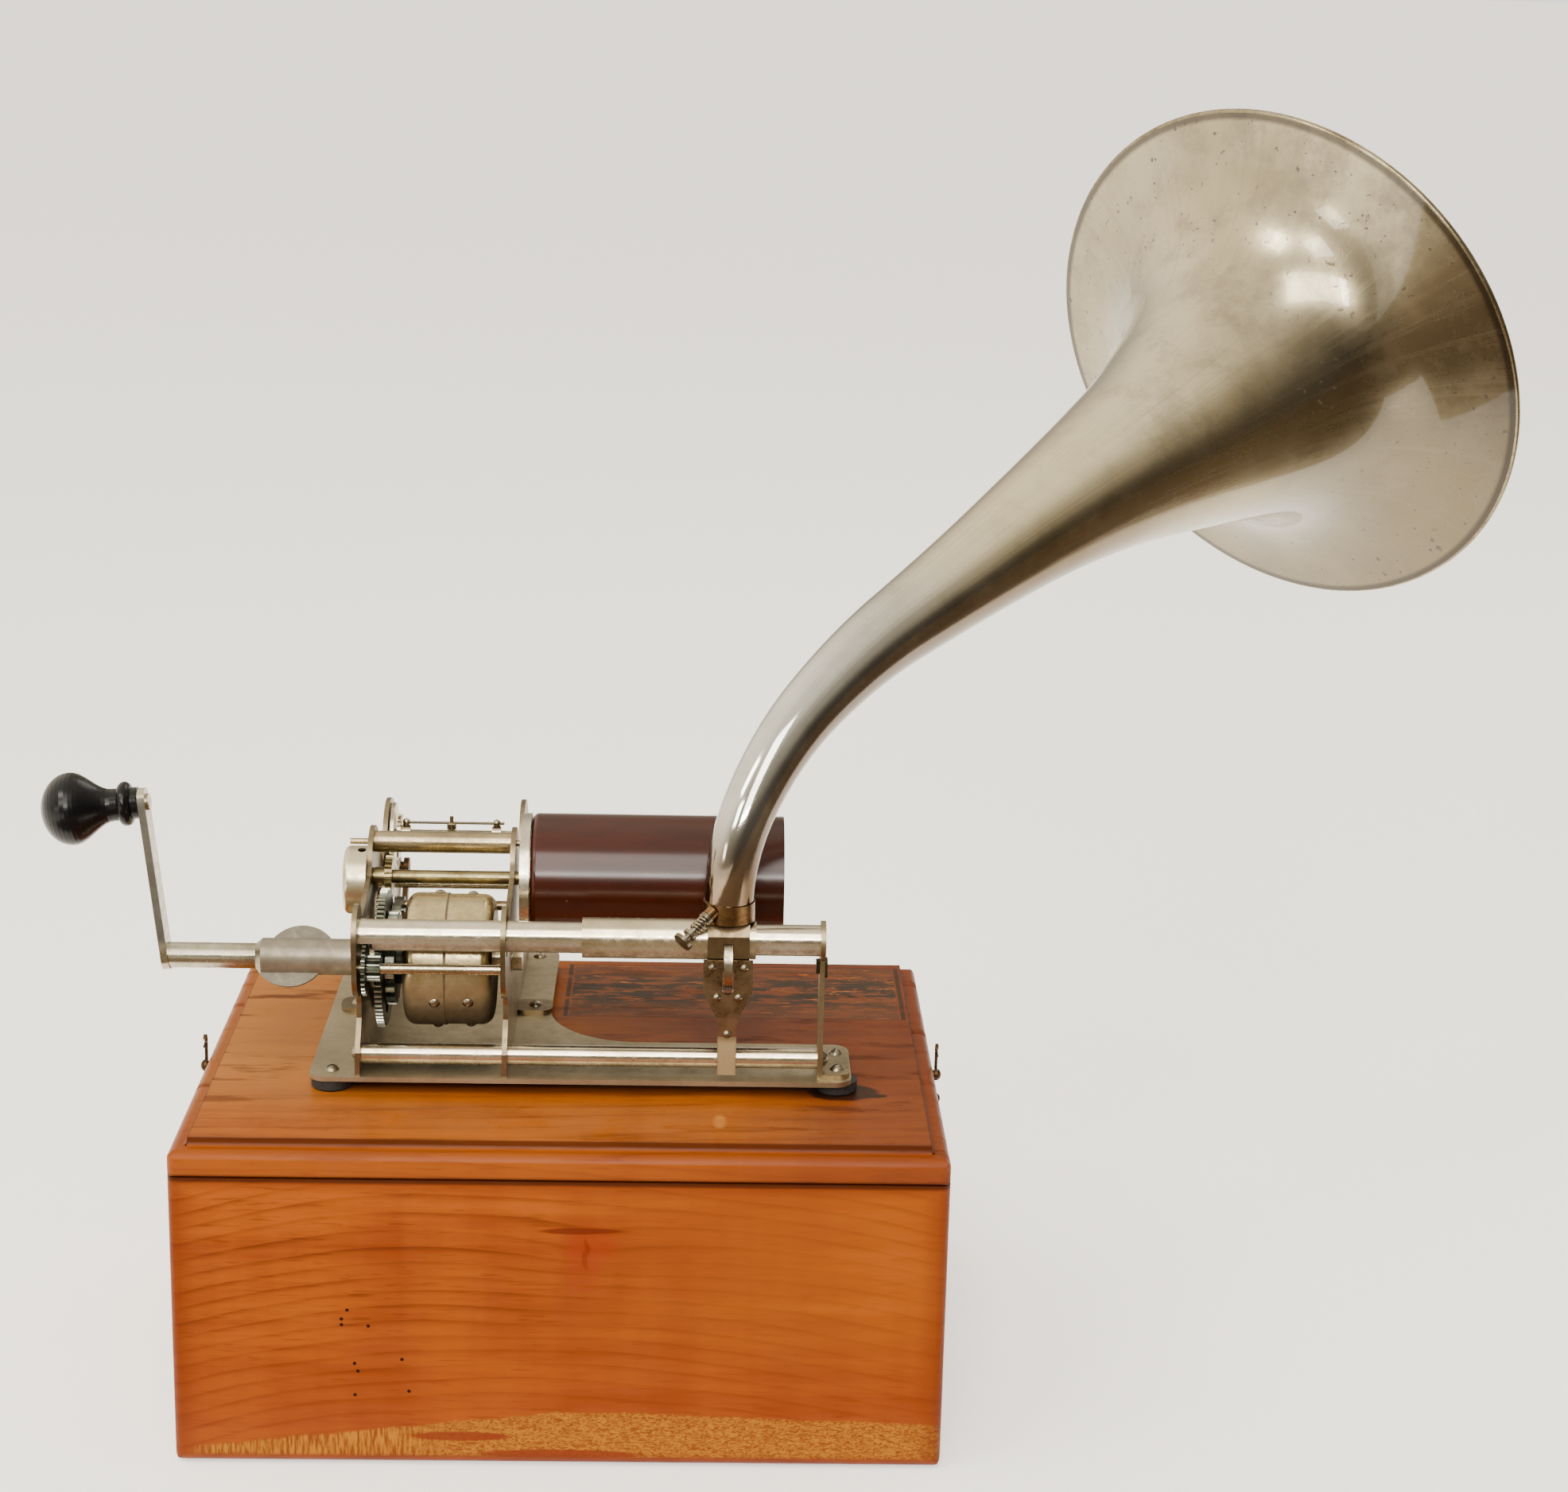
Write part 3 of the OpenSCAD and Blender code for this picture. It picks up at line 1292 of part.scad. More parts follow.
module stylus() {
    color("#d9d3c2") {
        translate([yoke_x, case_y0 + 1 + seat_c, mandrel_at[1]]) rotate([-90, 0, 0]) cylinder(h = 0.6, r = case_r - 1.1);
        translate([yoke_x, case_y0 + 1.5, mandrel_at[1]]) rotate([-90, 0, 0])
            cylinder(h = stylus_tip_y - case_y0 - 1.5, r1 = 1.4, r2 = 0.5);
    }
}

// Horn

function horn_r(s) = horn_neck_r + horn_taper * s
    + flare_r * (exp((s - horn_len) / flare_len) - exp(-horn_len / flare_len))
    + bell_r * exp((s - horn_len) / bell_len);
function horn_slope(s) = horn_taper + flare_r / flare_len * exp((s - horn_len) / flare_len)
    + bell_r / bell_len * exp((s - horn_len) / bell_len);
function horn_wall(s) = horn_t * sqrt(1 + pow(horn_slope(s), 2));
function horn_s(i) = horn_len * (1 - pow(1 - i / horn_rings, 1.35));
function horn_mid_s(i) = (horn_s(i) + horn_s(i + 1)) / 2;
function horn_lift(i) = lookup(horn_s(i), horn_bend);
function horn_hop(i) = i < horn_rings ? (horn_s(i + 1) - horn_s(i))
    * [cos(lookup(horn_mid_s(i), horn_bend)), sin(lookup(horn_mid_s(i), horn_bend))] : [0, 0];
horn_mid = [for (i = 0, p = [0, 0]; i <= horn_rings; p = p + horn_hop(i), i = i + 1) p];
horn_dir = [sin(horn_turn), cos(horn_turn), 0];
horn_side = [cos(horn_turn), -sin(horn_turn), 0];
horn_base = [yoke_x, tube_at[0], yoke_top + air];
function horn_centre(i) = horn_base + horn_mid[i][0] * horn_dir + [0, 0, horn_mid[i][1]];
function horn_up(i) = -sin(horn_lift(i)) * horn_dir + [0, 0, cos(horn_lift(i))];
function horn_ring(i, r) = [for (k = [0 : horn_sides - 1]) let (a = k * 360 / horn_sides)
    horn_centre(i) + r * (cos(a) * horn_up(i) + sin(a) * horn_side)];

module horn_sheet() {
    n = horn_sides;
    outer = [for (i = [0 : horn_rings]) each horn_ring(i, horn_r(horn_s(i)))];
    inner = [for (i = [0 : horn_rings]) each horn_ring(i, horn_r(horn_s(i)) - horn_wall(horn_s(i)))];
    base = n * (horn_rings + 1);
    function q(a, b, c, d) = [[a, b, c], [a, c, d]];
    faces = concat(
        [for (i = [0 : horn_rings - 1], k = [0 : n - 1]) let (j = (k + 1) % n)
            each q(i * n + k, i * n + j, (i + 1) * n + j, (i + 1) * n + k)],
        [for (i = [0 : horn_rings - 1], k = [0 : n - 1]) let (j = (k + 1) % n)
            each q(base + i * n + j, base + i * n + k, base + (i + 1) * n + k, base + (i + 1) * n + j)],
        [for (k = [0 : n - 1]) let (j = (k + 1) % n) each q(base + k, base + j, j, k)],
        [for (k = [0 : n - 1]) let (j = (k + 1) % n, o = horn_rings * n)
            each q(o + k, o + j, base + o + j, base + o + k)]);
    polyhedron(concat(outer, inner), faces);
}

module horn() {
    color("#c4bca9") horn_sheet();
}

module horn_rim() {
    end = horn_centre(horn_rings);
    lift = horn_lift(horn_rings);
    past = rim_wire_r + 0.1;
    color("#cfc8b6") translate(end) rotate([0, 90 - lift, 90 - horn_turn]) translate([0, 0, past])
        rotate_extrude($fn = 96) translate([horn_r(horn_len) - horn_t / 2, 0]) circle(rim_wire_r, $fn = 24);
}

// Thumbscrew at the foot of the horn's neck

thumb_base = [yoke_x - 7, tube_at[0] - 8.2, horn_z - 3];
thumb_dir = [-11.5, -8.5, -9.5];
thumb_len = norm(thumb_dir);

module thumb_frame() {
    translate(thumb_base) rotate([0, acos(thumb_dir[2] / thumb_len), atan2(thumb_dir[1], thumb_dir[0])]) children();
}

thumb_coil_r = 2.3;
thumb_pitch = 1.5;
coil_steps = 8;
coil_sides = 6;
coil_z0 = 5;
echo(thumb_spring_gap = thumb_pitch - 2 * thumb_wire_r);

module thumb_coil() {
    rings = thumb_turns * coil_steps;
    points = [for (i = [0 : rings], k = [0 : coil_sides - 1])
        let (a = i * 360 / coil_steps, b = k * 360 / coil_sides, r = thumb_coil_r + thumb_wire_r * cos(b))
        [r * cos(a), r * sin(a), coil_z0 + i * thumb_pitch / coil_steps + thumb_wire_r * sin(b)]];
    sides = [for (i = [0 : rings - 1], k = [0 : coil_sides - 1])
        let (j = (k + 1) % coil_sides, a = i * coil_sides + k, b = i * coil_sides + j)
        each [[a, a + coil_sides, b + coil_sides], [a, b + coil_sides, b]]];
    caps = [for (k = [1 : coil_sides - 2]) each [[0, k, k + 1],
        [rings * coil_sides, rings * coil_sides + k + 1, rings * coil_sides + k]]];
    polyhedron(points, concat(sides, caps));
}

thumb_shank_r = 1.5;

module horn_collar() {
    bore = horn_r(collar_h) + 0.05;
    color("#bdb5a3") difference() {
        union() {
            translate([yoke_x, tube_at[0], yoke_top + air]) cylinder(h = collar_h, r = bore + 0.6);
            thumb_frame() translate([0, 0, -1]) cylinder(h = 3.4, r = 2.8);
        }
        translate([yoke_x, tube_at[0], yoke_top]) cylinder(h = 2 * collar_h, r = bore);
        thumb_frame() translate([0, 0, -4]) cylinder(h = 10, r = thumb_shank_r + run_c);
    }
}

module thumb_spring() {
    color("#a39d8f") thumb_frame() thumb_coil();
}

module thumbscrew() {
    color("#b5ad9a") thumb_frame() {
        translate([0, 0, 1.2]) cylinder(h = thumb_len - 1.2, r = thumb_shank_r);
        translate([0, 0, 2.7]) cylinder(h = 1.6, r = 3);
        translate([0, 0, thumb_len - 4.6]) cylinder(h = 1.4, r = 2.9);
        translate([0, 0, thumb_len - 0.6]) cylinder(h = 1.6, r = thumb_r);
    }
}

box_front();
box_back();
box_left();
box_right();
box_floor();
base_board();
catch_pins();
hook_screws();
hook_left();
hook_right();
base_plate();
rubber_feet();
base_screws();
left_plate();
mid_plate();
upper_rod();
lower_rod();
rod_screws();
guide_tube();
bracket();
bracket_clip();
barrel_left();
barrel_right();
barrel_screws();
main_spring();
ratchet_wheel();
winding_shaft();
click();
great_wheel();
drive_sleeve();
front_shaft();
front_pinion();
front_gear();
feed_screw();
mandrel_shaft();
mandrel();
record();
bearing_cup();
first_idler();
second_idler();
governor_shaft();
friction_disc();
governor_springs();
governor_weights();
brake_lever();
wing_key();
crank();
knob();
carriage_sleeve();
yoke();
leg_plate();
leg_rivets();
leaf_spring();
reproducer();
stylus();
horn();
horn_rim();
horn_collar();
thumbscrew();
thumb_spring();
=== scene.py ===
# %% [markdown]
# # A cylinder phonograph, dressed for its picture
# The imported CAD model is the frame: every board, plate, rod and wheel already stands in its place, in metres,
# with +X to the right, +Y to the back and +Z up. This lesson gives each of them a finish, and makes smoother
# or richer pieces where a finish alone is not enough. Loading the frame first keeps every later step honest,
# because a new piece takes its place from the node that it stands for or the joint that it turns on.

# %% Load the frame
import json
import math

import bmesh
import bpy
from mathutils import Matrix, Vector


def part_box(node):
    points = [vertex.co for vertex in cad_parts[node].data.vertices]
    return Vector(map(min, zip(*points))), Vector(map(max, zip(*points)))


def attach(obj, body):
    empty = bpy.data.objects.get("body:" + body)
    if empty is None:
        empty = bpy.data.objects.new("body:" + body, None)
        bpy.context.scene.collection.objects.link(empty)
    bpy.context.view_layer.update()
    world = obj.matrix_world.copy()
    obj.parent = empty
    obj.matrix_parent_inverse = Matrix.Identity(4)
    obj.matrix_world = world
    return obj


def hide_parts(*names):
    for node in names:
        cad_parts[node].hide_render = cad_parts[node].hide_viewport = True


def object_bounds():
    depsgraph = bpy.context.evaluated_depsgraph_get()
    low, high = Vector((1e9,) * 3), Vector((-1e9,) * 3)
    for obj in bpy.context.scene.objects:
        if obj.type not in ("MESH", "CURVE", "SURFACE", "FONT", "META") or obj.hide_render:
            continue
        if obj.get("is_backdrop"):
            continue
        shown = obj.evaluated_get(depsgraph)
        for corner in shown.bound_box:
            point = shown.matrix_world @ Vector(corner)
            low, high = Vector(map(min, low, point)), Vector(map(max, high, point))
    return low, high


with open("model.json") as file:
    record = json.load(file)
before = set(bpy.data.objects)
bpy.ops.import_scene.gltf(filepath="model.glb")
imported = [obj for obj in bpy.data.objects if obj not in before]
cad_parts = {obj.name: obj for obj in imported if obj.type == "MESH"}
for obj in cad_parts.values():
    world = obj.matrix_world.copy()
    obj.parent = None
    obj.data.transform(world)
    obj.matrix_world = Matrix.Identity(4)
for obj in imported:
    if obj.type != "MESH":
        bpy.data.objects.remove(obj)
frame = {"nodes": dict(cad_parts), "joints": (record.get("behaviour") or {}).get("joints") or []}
nodes = frame["nodes"]
joints = {joint["name"]: joint for joint in frame["joints"]}
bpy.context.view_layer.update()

# %% [markdown]
# ## The camera
# The picture was taken from a little above the horn's neck, with a short telephoto lens. The place and the
# three turns below were solved from the box's straight edges. A camera looks along its own -Z with +Y up, so
# its matrix is built from three plain directions: across the picture, up the picture, and back to the lens.

# %% Camera
CAMERA_AT = Vector((0.052556, -1.236664, 0.606276))
PITCH, YAW, ROLL = 0.26196, 0.02911, -0.02316
LENS_MM = 69.49

forward = Vector((math.sin(YAW) * math.cos(PITCH), math.cos(YAW) * math.cos(PITCH), -math.sin(PITCH)))
level = Vector((math.cos(YAW), -math.sin(YAW), 0))
drop = forward.cross(level)
across = math.cos(ROLL) * level + math.sin(ROLL) * drop
down = math.cos(ROLL) * drop - math.sin(ROLL) * level

camera = bpy.data.objects.new("camera", bpy.data.cameras.new("camera"))
bpy.context.scene.collection.objects.link(camera)
camera.data.lens = LENS_MM
camera.data.sensor_width = 36
camera.data.clip_end = 200
camera.matrix_world = Matrix.Translation(CAMERA_AT) @ Matrix((across, -down, -forward)).transposed().to_4x4()
bpy.context.scene.camera = camera
print("camera", [round(v, 3) for v in CAMERA_AT])

# %% [markdown]
# ## Shader maths as plain sums
# A finish is a small network of nodes. Wiring it by hand hides the idea, so one class wraps a socket and
# takes over the usual signs: adding two wires adds a Math node. A second class holds one material and makes
# every other node through a single method.

# %% Wires and finishes
def tint(code):
    """Linear colour from a #rrggbb code."""
    parts = [int(code[i:i + 2], 16) / 255 for i in (1, 3, 5)]
    return (*[p / 12.92 if p < 0.04045 else ((p + 0.055) / 1.055) ** 2.4 for p in parts], 1.0)


class Wire:
    """An output socket that can stand in a sum."""

    def __init__(self, finish, socket):
        self.finish = finish
        self.socket = socket

    def maths(self, operation, *values):
        return self.finish.node("ShaderNodeMath", {"operation": operation}, values)

    def __add__(self, other):
        return self.maths("ADD", self, other)

    def __sub__(self, other):
        return self.maths("SUBTRACT", self, other)

    def __rsub__(self, other):
        return self.maths("SUBTRACT", other, self)

    def __mul__(self, other):
        return self.maths("MULTIPLY", self, other)

    def __truediv__(self, other):
        return self.maths("DIVIDE", self, other)

    def __pow__(self, other):
        return self.maths("POWER", self, other)

    __radd__ = __add__
    __rmul__ = __mul__

    def size(self):
        return self.maths("ABSOLUTE", self)

    def least(self, other):
        return self.maths("MINIMUM", self, other)

    def most(self, other):
        return self.maths("MAXIMUM", self, other)

    def part(self):
        return self.maths("FRACT", self)

    def fade(self, low, high):
        """0 below low, 1 above high, and smooth between them."""
        return self.finish.node("ShaderNodeMapRange", {"interpolation_type": "SMOOTHSTEP"},
                                {"Value": self, "From Min": low, "From Max": high})


class Finish:
    """One material, with its nodes made through one method."""

    def __init__(self, name):
        self.material = bpy.data.materials.new(name)
        self.wire_up(self.material, "Principled BSDF", "Object")

    def wire_up(self, holder, shader, place):
        holder.use_nodes = True
        self.tree = holder.node_tree
        self.shader = self.tree.nodes[shader]
        self.place = self.node("ShaderNodeTexCoord", {}, {}, place)

    def node(self, kind, settings, sockets, out=0):
        made = self.tree.nodes.new(kind)
        for key, value in settings.items():
            if key == "stops":
                ramp = made.color_ramp.elements
                while len(ramp) < len(value):
                    ramp.new(0.5)
                for stop, (where, colour) in zip(ramp, value):
                    stop.position = where
                    stop.color = colour
            else:
                setattr(made, key, value)
        pairs = sockets.items() if isinstance(sockets, dict) else enumerate(sockets)
        for key, value in pairs:
            self.plug(value, made.inputs[key])
        return Wire(self, made.outputs[out])

    def plug(self, value, socket):
        if isinstance(value, Wire):
            self.tree.links.new(value.socket, socket)
        else:
            socket.default_value = value

    def axes(self, vector=None):
        """The x, y and z of a vector as three wires."""
        split = self.node("ShaderNodeSeparateXYZ", {}, [vector or self.place])
        return split, Wire(self, split.socket.node.outputs[1]), Wire(self, split.socket.node.outputs[2])

    def moved(self, vector=None, turn=(0, 0, 0), scale=(1, 1, 1)):
        return self.node("ShaderNodeMapping", {}, {"Vector": vector or self.place, "Rotation": turn,
                                                   "Scale": scale})

    def noise(self, scale, vector=None, detail=3.0, rough=0.55, warp=0.0):
        """Clouds with features 1 / scale metres wide, or a different scale along each axis."""
        if not isinstance(scale, (int, float)):
            vector, scale = self.moved(vector, scale=scale), 1.0
        return self.node("ShaderNodeTexNoise", {}, {"Vector": vector or self.place, "Scale": scale,
                                                    "Detail": detail, "Roughness": rough, "Distortion": warp})

    def mix(self, factor, first, second):
        return self.node("ShaderNodeMix", {"data_type": "RGBA"}, {0: factor, 6: first, 7: second}, 2)

    def set(self, **sockets):
        """Plug values into the shader: base_color=... goes to Base Color."""
        for key, value in sockets.items():
            wanted = key.replace("_", " ")
            self.plug(value, next(s for s in self.shader.inputs if s.name.lower() == wanted))

    def bump(self, height, strength, depth):
        return self.node("ShaderNodeBump", {}, {"Height": height, "Strength": strength, "Distance": depth})


print("colour test", [round(v, 3) for v in tint("#be6a24")])

# %% [markdown]
# ## Light
# Bare metal shows what surrounds it more than its own colour, so the surround matters as much as the lamps.
# The room is pale and warm overhead and on the left, and darker in front on the right, which gives the horn
# its dark side. Soft panels in front on the left stand where windows would be: each is far enough away to
# light the wood evenly and small enough to leave a clear glint on the plating.

# %% Surround and lamps
class Surround(Finish):
    """The light that comes from all round, by direction."""

    def __init__(self, name):
        self.world = bpy.data.worlds.new(name)
        self.wire_up(self.world, "Background", "Generated")


def light_surround():
    room = Surround("studio")
    x, y, z = room.axes()
    right_front = (x * 0.77 - y * 0.64).fade(0.0, 0.8) * (1 - z.fade(0.15, 0.6))
    left_back = (z * 0.5 - x * 0.85 + y * 0.25).fade(0.4, 0.95)
    tone = room.mix(z.fade(0.55, 1.0), (0.62, 0.55, 0.43, 1), (1.7, 1.55, 1.3, 1))
    tone = room.mix(left_back, tone, (2.5, 2.25, 1.85, 1))
    tone = room.mix(right_front * 0.85, tone, (0.07, 0.055, 0.045, 1))
    room.set(color=tone, strength=0.85)
    bpy.context.scene.world = room.world


MIDDLE = Vector((0.05, 0.0, 0.25))
LAMP_COLOUR = (1.0, 0.95, 0.87)


def panel(name, azimuth, height, far, size, glow, mirrored=True):
    """A soft lamp aimed at the middle; azimuth counts from the front to the right, glow is its radiance."""
    lamp = bpy.data.lights.new(name, "AREA")
    lamp.shape = "RECTANGLE"
    lamp.size, lamp.size_y = size
    lamp.energy = glow * math.pi * size[0] * size[1]
    lamp.color = LAMP_COLOUR
    made = bpy.data.objects.new(name, lamp)
    bpy.context.scene.collection.objects.link(made)
    turn, lift = math.radians(azimuth), math.radians(height)
    way = Vector((math.sin(turn) * math.cos(lift), -math.cos(turn) * math.cos(lift), math.sin(lift)))
    made.location = MIDDLE + way * far
    made.visible_camera = False
    made.visible_glossy = mirrored
    made.rotation_euler = (-way).to_track_quat("-Z", "Y").to_euler()


light_surround()
panel("window_high", -56, 47, 2.4, (0.5, 0.6), 16)
panel("window_mid", -34, 30, 2.4, (0.5, 0.55), 15)
panel("window_low", -47, 9, 2.6, (0.45, 0.35), 10)
panel("window_front", -3, 44, 2.6, (0.9, 1.8), 9)
panel("window_sill", -3, 24.5, 2.6, (0.8, 0.2), 40)
panel("ceiling", -5, 76, 2.2, (1.3, 0.9), 4, mirrored=False)
panel("back_glow", 150, 40, 2.6, (1.2, 1.0), 3)

# %% [markdown]
# ## Floor
# The floor is plain pale paper, far wider than the picture. It glows a little, so that it stays pale a long
# way behind the object where the lamps no longer reach. Bright metal on white paper looks washed out, so a
# photographer lays dark cards just outside the picture for it to reflect. The cards here do only that: the
# camera doesn't see them, and they take no light from the wood. A round wall of the same paper stands far off
# for the camera alone, so that a low view from any side keeps a pale background.

# %% Floor
PAPER_GLOW = (1, 0.985, 0.955, 1)


def floor_finish():
    paper = Finish("pale_paper")
    fleck = paper.noise(90, detail=4)
    paper.set(base_color=paper.mix(fleck, tint("#f1eee8"), tint("#ebe8e1")), roughness=0.9)
    paper.set(emission_color=PAPER_GLOW, emission_strength=0.85)
    return paper.material


def card_finish():
    card = Finish("dark_card")
    nap = card.noise(40, detail=3)
    card.set(base_color=card.mix(nap, tint("#6a5a46"), tint("#5a4c3a")), roughness=0.9)
    return card.material


def lay_sheet(name, low, high, height, finish):
    """A flat sheet of the stage between two corners."""
    mesh = bpy.data.meshes.new(name)
    sheet = bmesh.new()
    bmesh.ops.create_grid(sheet, x_segments=1, y_segments=1, size=0.5)
    middle = ((low[0] + high[0]) / 2, (low[1] + high[1]) / 2, height)
    bmesh.ops.scale(sheet, vec=(high[0] - low[0], high[1] - low[1], 1), verts=sheet.verts)
    bmesh.ops.translate(sheet, vec=middle, verts=sheet.verts)
    sheet.to_mesh(mesh)
    sheet.free()
    mesh.materials.append(finish)
    laid = bpy.data.objects.new(name, mesh)
    bpy.context.scene.collection.objects.link(laid)
    laid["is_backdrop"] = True
    return laid


def wall_finish():
    paper = Finish("far_paper")
    paper.set(base_color=(0, 0, 0, 1), roughness=1.0, emission_color=PAPER_GLOW, emission_strength=1.55)
    return paper.material


def raise_wall(radius, height):
    """A round wall of paper that only the camera sees."""
    mesh = bpy.data.meshes.new("backdrop")
    ring = bmesh.new()
    bmesh.ops.create_circle(ring, segments=96, radius=radius)
    grown = bmesh.ops.extrude_edge_only(ring, edges=ring.edges[:])["geom"]
    top = [g for g in grown if isinstance(g, bmesh.types.BMVert)]
    bmesh.ops.translate(ring, vec=(0, 0, height), verts=top)
    ring.to_mesh(mesh)
    ring.free()
    mesh.materials.append(wall_finish())
    wall = bpy.data.objects.new("backdrop", mesh)
    bpy.context.scene.collection.objects.link(wall)
    wall.visible_glossy = wall.visible_diffuse = wall.visible_shadow = False
    wall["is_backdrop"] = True


FAR = 40
UNDER_CARDS = -0.0004
raise_wall(39, 30)
floor = lay_sheet("floor", (-FAR, -FAR), (FAR, FAR), UNDER_CARDS, floor_finish())
CARDS = {"front_card": ((-0.6, -FAR), (0.35, -0.16)), "side_card": ((0.35, -FAR), (FAR, -0.5)),
         "right_card": ((0.75, -0.5), (FAR, 0.3))}
for name, (low, high) in CARDS.items():
    card = lay_sheet(name, low, high, 0.0, card_finish())
    card.visible_camera = card.visible_diffuse = card.visible_shadow = False
print("floor", tuple(floor.dimensions))

# %% [markdown]
# ## Wood
# The box and the board are orange fruitwood under an old varnish. A tree's year rings are tubes, and a board
# cuts through them, so the lines come from the distance to a far heart line, bent by slow clouds. Thin
# stretched clouds add the fibres. Each board gets its own heart line, so that the lines don't run on round
# a corner.

# %% Wood grain
def rings(wood, grain, heart, spacing, bend):
    """Place inside one year ring, from 0 to 1 outwards; grain's x runs along the board."""
    _, y, z = wood.axes(grain)
    reach = ((y - heart[0]) ** 2 + (z - heart[1]) ** 2) ** 0.5
    slow = wood.noise((3.2, 9, 9), grain, detail=2)
    quick = wood.noise((14, 90, 90), grain, detail=3)
    return ((reach + bend + slow * 0.026 + quick * 0.002) / spacing).part()


def grain_colour(wood, grain, phase, light, deep, line, strength):
    """The colour of plain figured wood, with its fibres and streaks for other uses."""
    broad = wood.noise((4, 18, 18), grain, detail=3)
    silk = wood.noise((30, 5, 5), grain, detail=3)
    fibre = wood.noise((60, 1300, 1300), grain, detail=4, rough=0.65)
    streak = wood.noise((9, 150, 150), grain, detail=4, rough=0.6)
    fleck = wood.noise((55, 750, 750), grain, detail=3, rough=0.6)
    colour = wood.mix((broad * 0.5 + streak * 0.35 + silk * 0.35).fade(0.44, 0.78), light, deep)
    late = phase.fade(0.5, 0.965) ** 2 * (1 - phase.fade(0.965, 1.0))
    colour = wood.mix(late * (0.35 + streak.fade(0.3, 0.7)) * strength, colour, line)
    colour = wood.mix(fleck.fade(0.58, 0.68) * 0.4, colour, line)
    colour = wood.mix(fibre.fade(0.5, 0.78) * 0.3, colour, line)
    return colour, fibre, streak


def varnish(wood, colour, fibre, streak, shine=0.1, dull=None):
    """Old varnish: a soft shine that is worn in places."""
    wear = wood.noise(45, detail=5, rough=0.65)
    rough = 0.3 + wear.fade(0.45, 0.75) * 0.16 + fibre * 0.08
    if dull is not None:
        rough = rough + dull * 0.25
    wood.set(base_color=colour, roughness=rough, normal=wood.bump(fibre * 0.5 + streak * 0.5, 0.14, 0.0006))
    wood.set(specular_ior_level=shine)
    return wood.material


def spot(x, y, at, half):
    """1 in the middle of an oval, 0 outside it."""
    away = ((x - at[0]) / half[0]) ** 2 + ((y - at[1]) / half[1]) ** 2
    return 1 - away.fade(0.0, 1.0)


def plain_board(name, turn, heart):
    wood = Finish(name)
    grain = wood.moved(turn=(0, 0, turn))
    phase = rings(wood, grain, heart, 0.0062, 0)
    colour, fibre, streak = grain_colour(wood, grain, phase, tint("#93480f"), tint("#74330b"),
                                         tint("#451b05"), 0.45)
    return varnish(wood, colour, fibre, streak)


BACK = plain_board("cherry_back", 0, (0.04, -0.22))
LEFT = plain_board("cherry_left", math.pi / 2, (-0.05, -0.16))
RIGHT = plain_board("cherry_right", math.pi / 2, (0.28, -0.19))
BOTTOM = plain_board("cherry_floor", 0, (0.02, -0.4))
print("plain boards", [m.name for m in (BACK, LEFT, RIGHT, BOTTOM)])

# %% [markdown]
# ## The front board
# This board is the face of the box, so its own marks count: lines that bow up towards the middle and dip
# under a small knot, a band of pale rippled sapwood along the bottom with two dark veins in it, and a few
# worm holes. Each is a mask over the plain grain, placed in metres on the board.

# %% Front board
WORM_HOLES = [(-0.0852, 0.0687), (-0.0875, 0.0648), (-0.0875, 0.0623), (-0.0768, 0.0618), (-0.0634, 0.0472),
              (-0.0825, 0.0453), (-0.0812, 0.0419), (-0.0607, 0.0332), (-0.0825, 0.0314)]


def sapwood(wood, x, z):
    """The rippled band and how far it covers the board."""
    ragged = wood.noise((80, 60, 60), detail=4, rough=0.7) * 0.005 - 0.0025
    top = 0.025 - (0.0045 - x).most(0) * 0.112 - (x - 0.0045).most(0) * 0.03 + ragged
    cover = (top - z).fade(-0.0006, 0.001) * z.fade(0.0035, 0.0055) * x.fade(-0.152, -0.14)
    comb = wood.noise((950, 60, 120), detail=3)
    wave = wood.noise((420, 60, 1250), detail=3, warp=1.5)
    ripple = (comb + (wave - comb) * x.fade(-0.075, -0.03)).fade(0.4, 0.6)
    colour = wood.mix(ripple * 0.85, tint("#9a5f12"), tint("#642a05"))
    vein = spot(x, z, (-0.040, 0.0133), (0.026, 0.0026)).most(spot(x, z, (0.0, 0.0055), (0.042, 0.0028)))
    return wood.mix(vein.fade(0.1, 0.6) * 0.85, colour, tint("#6a2405")), cover.most(vein.fade(0.2, 0.6))


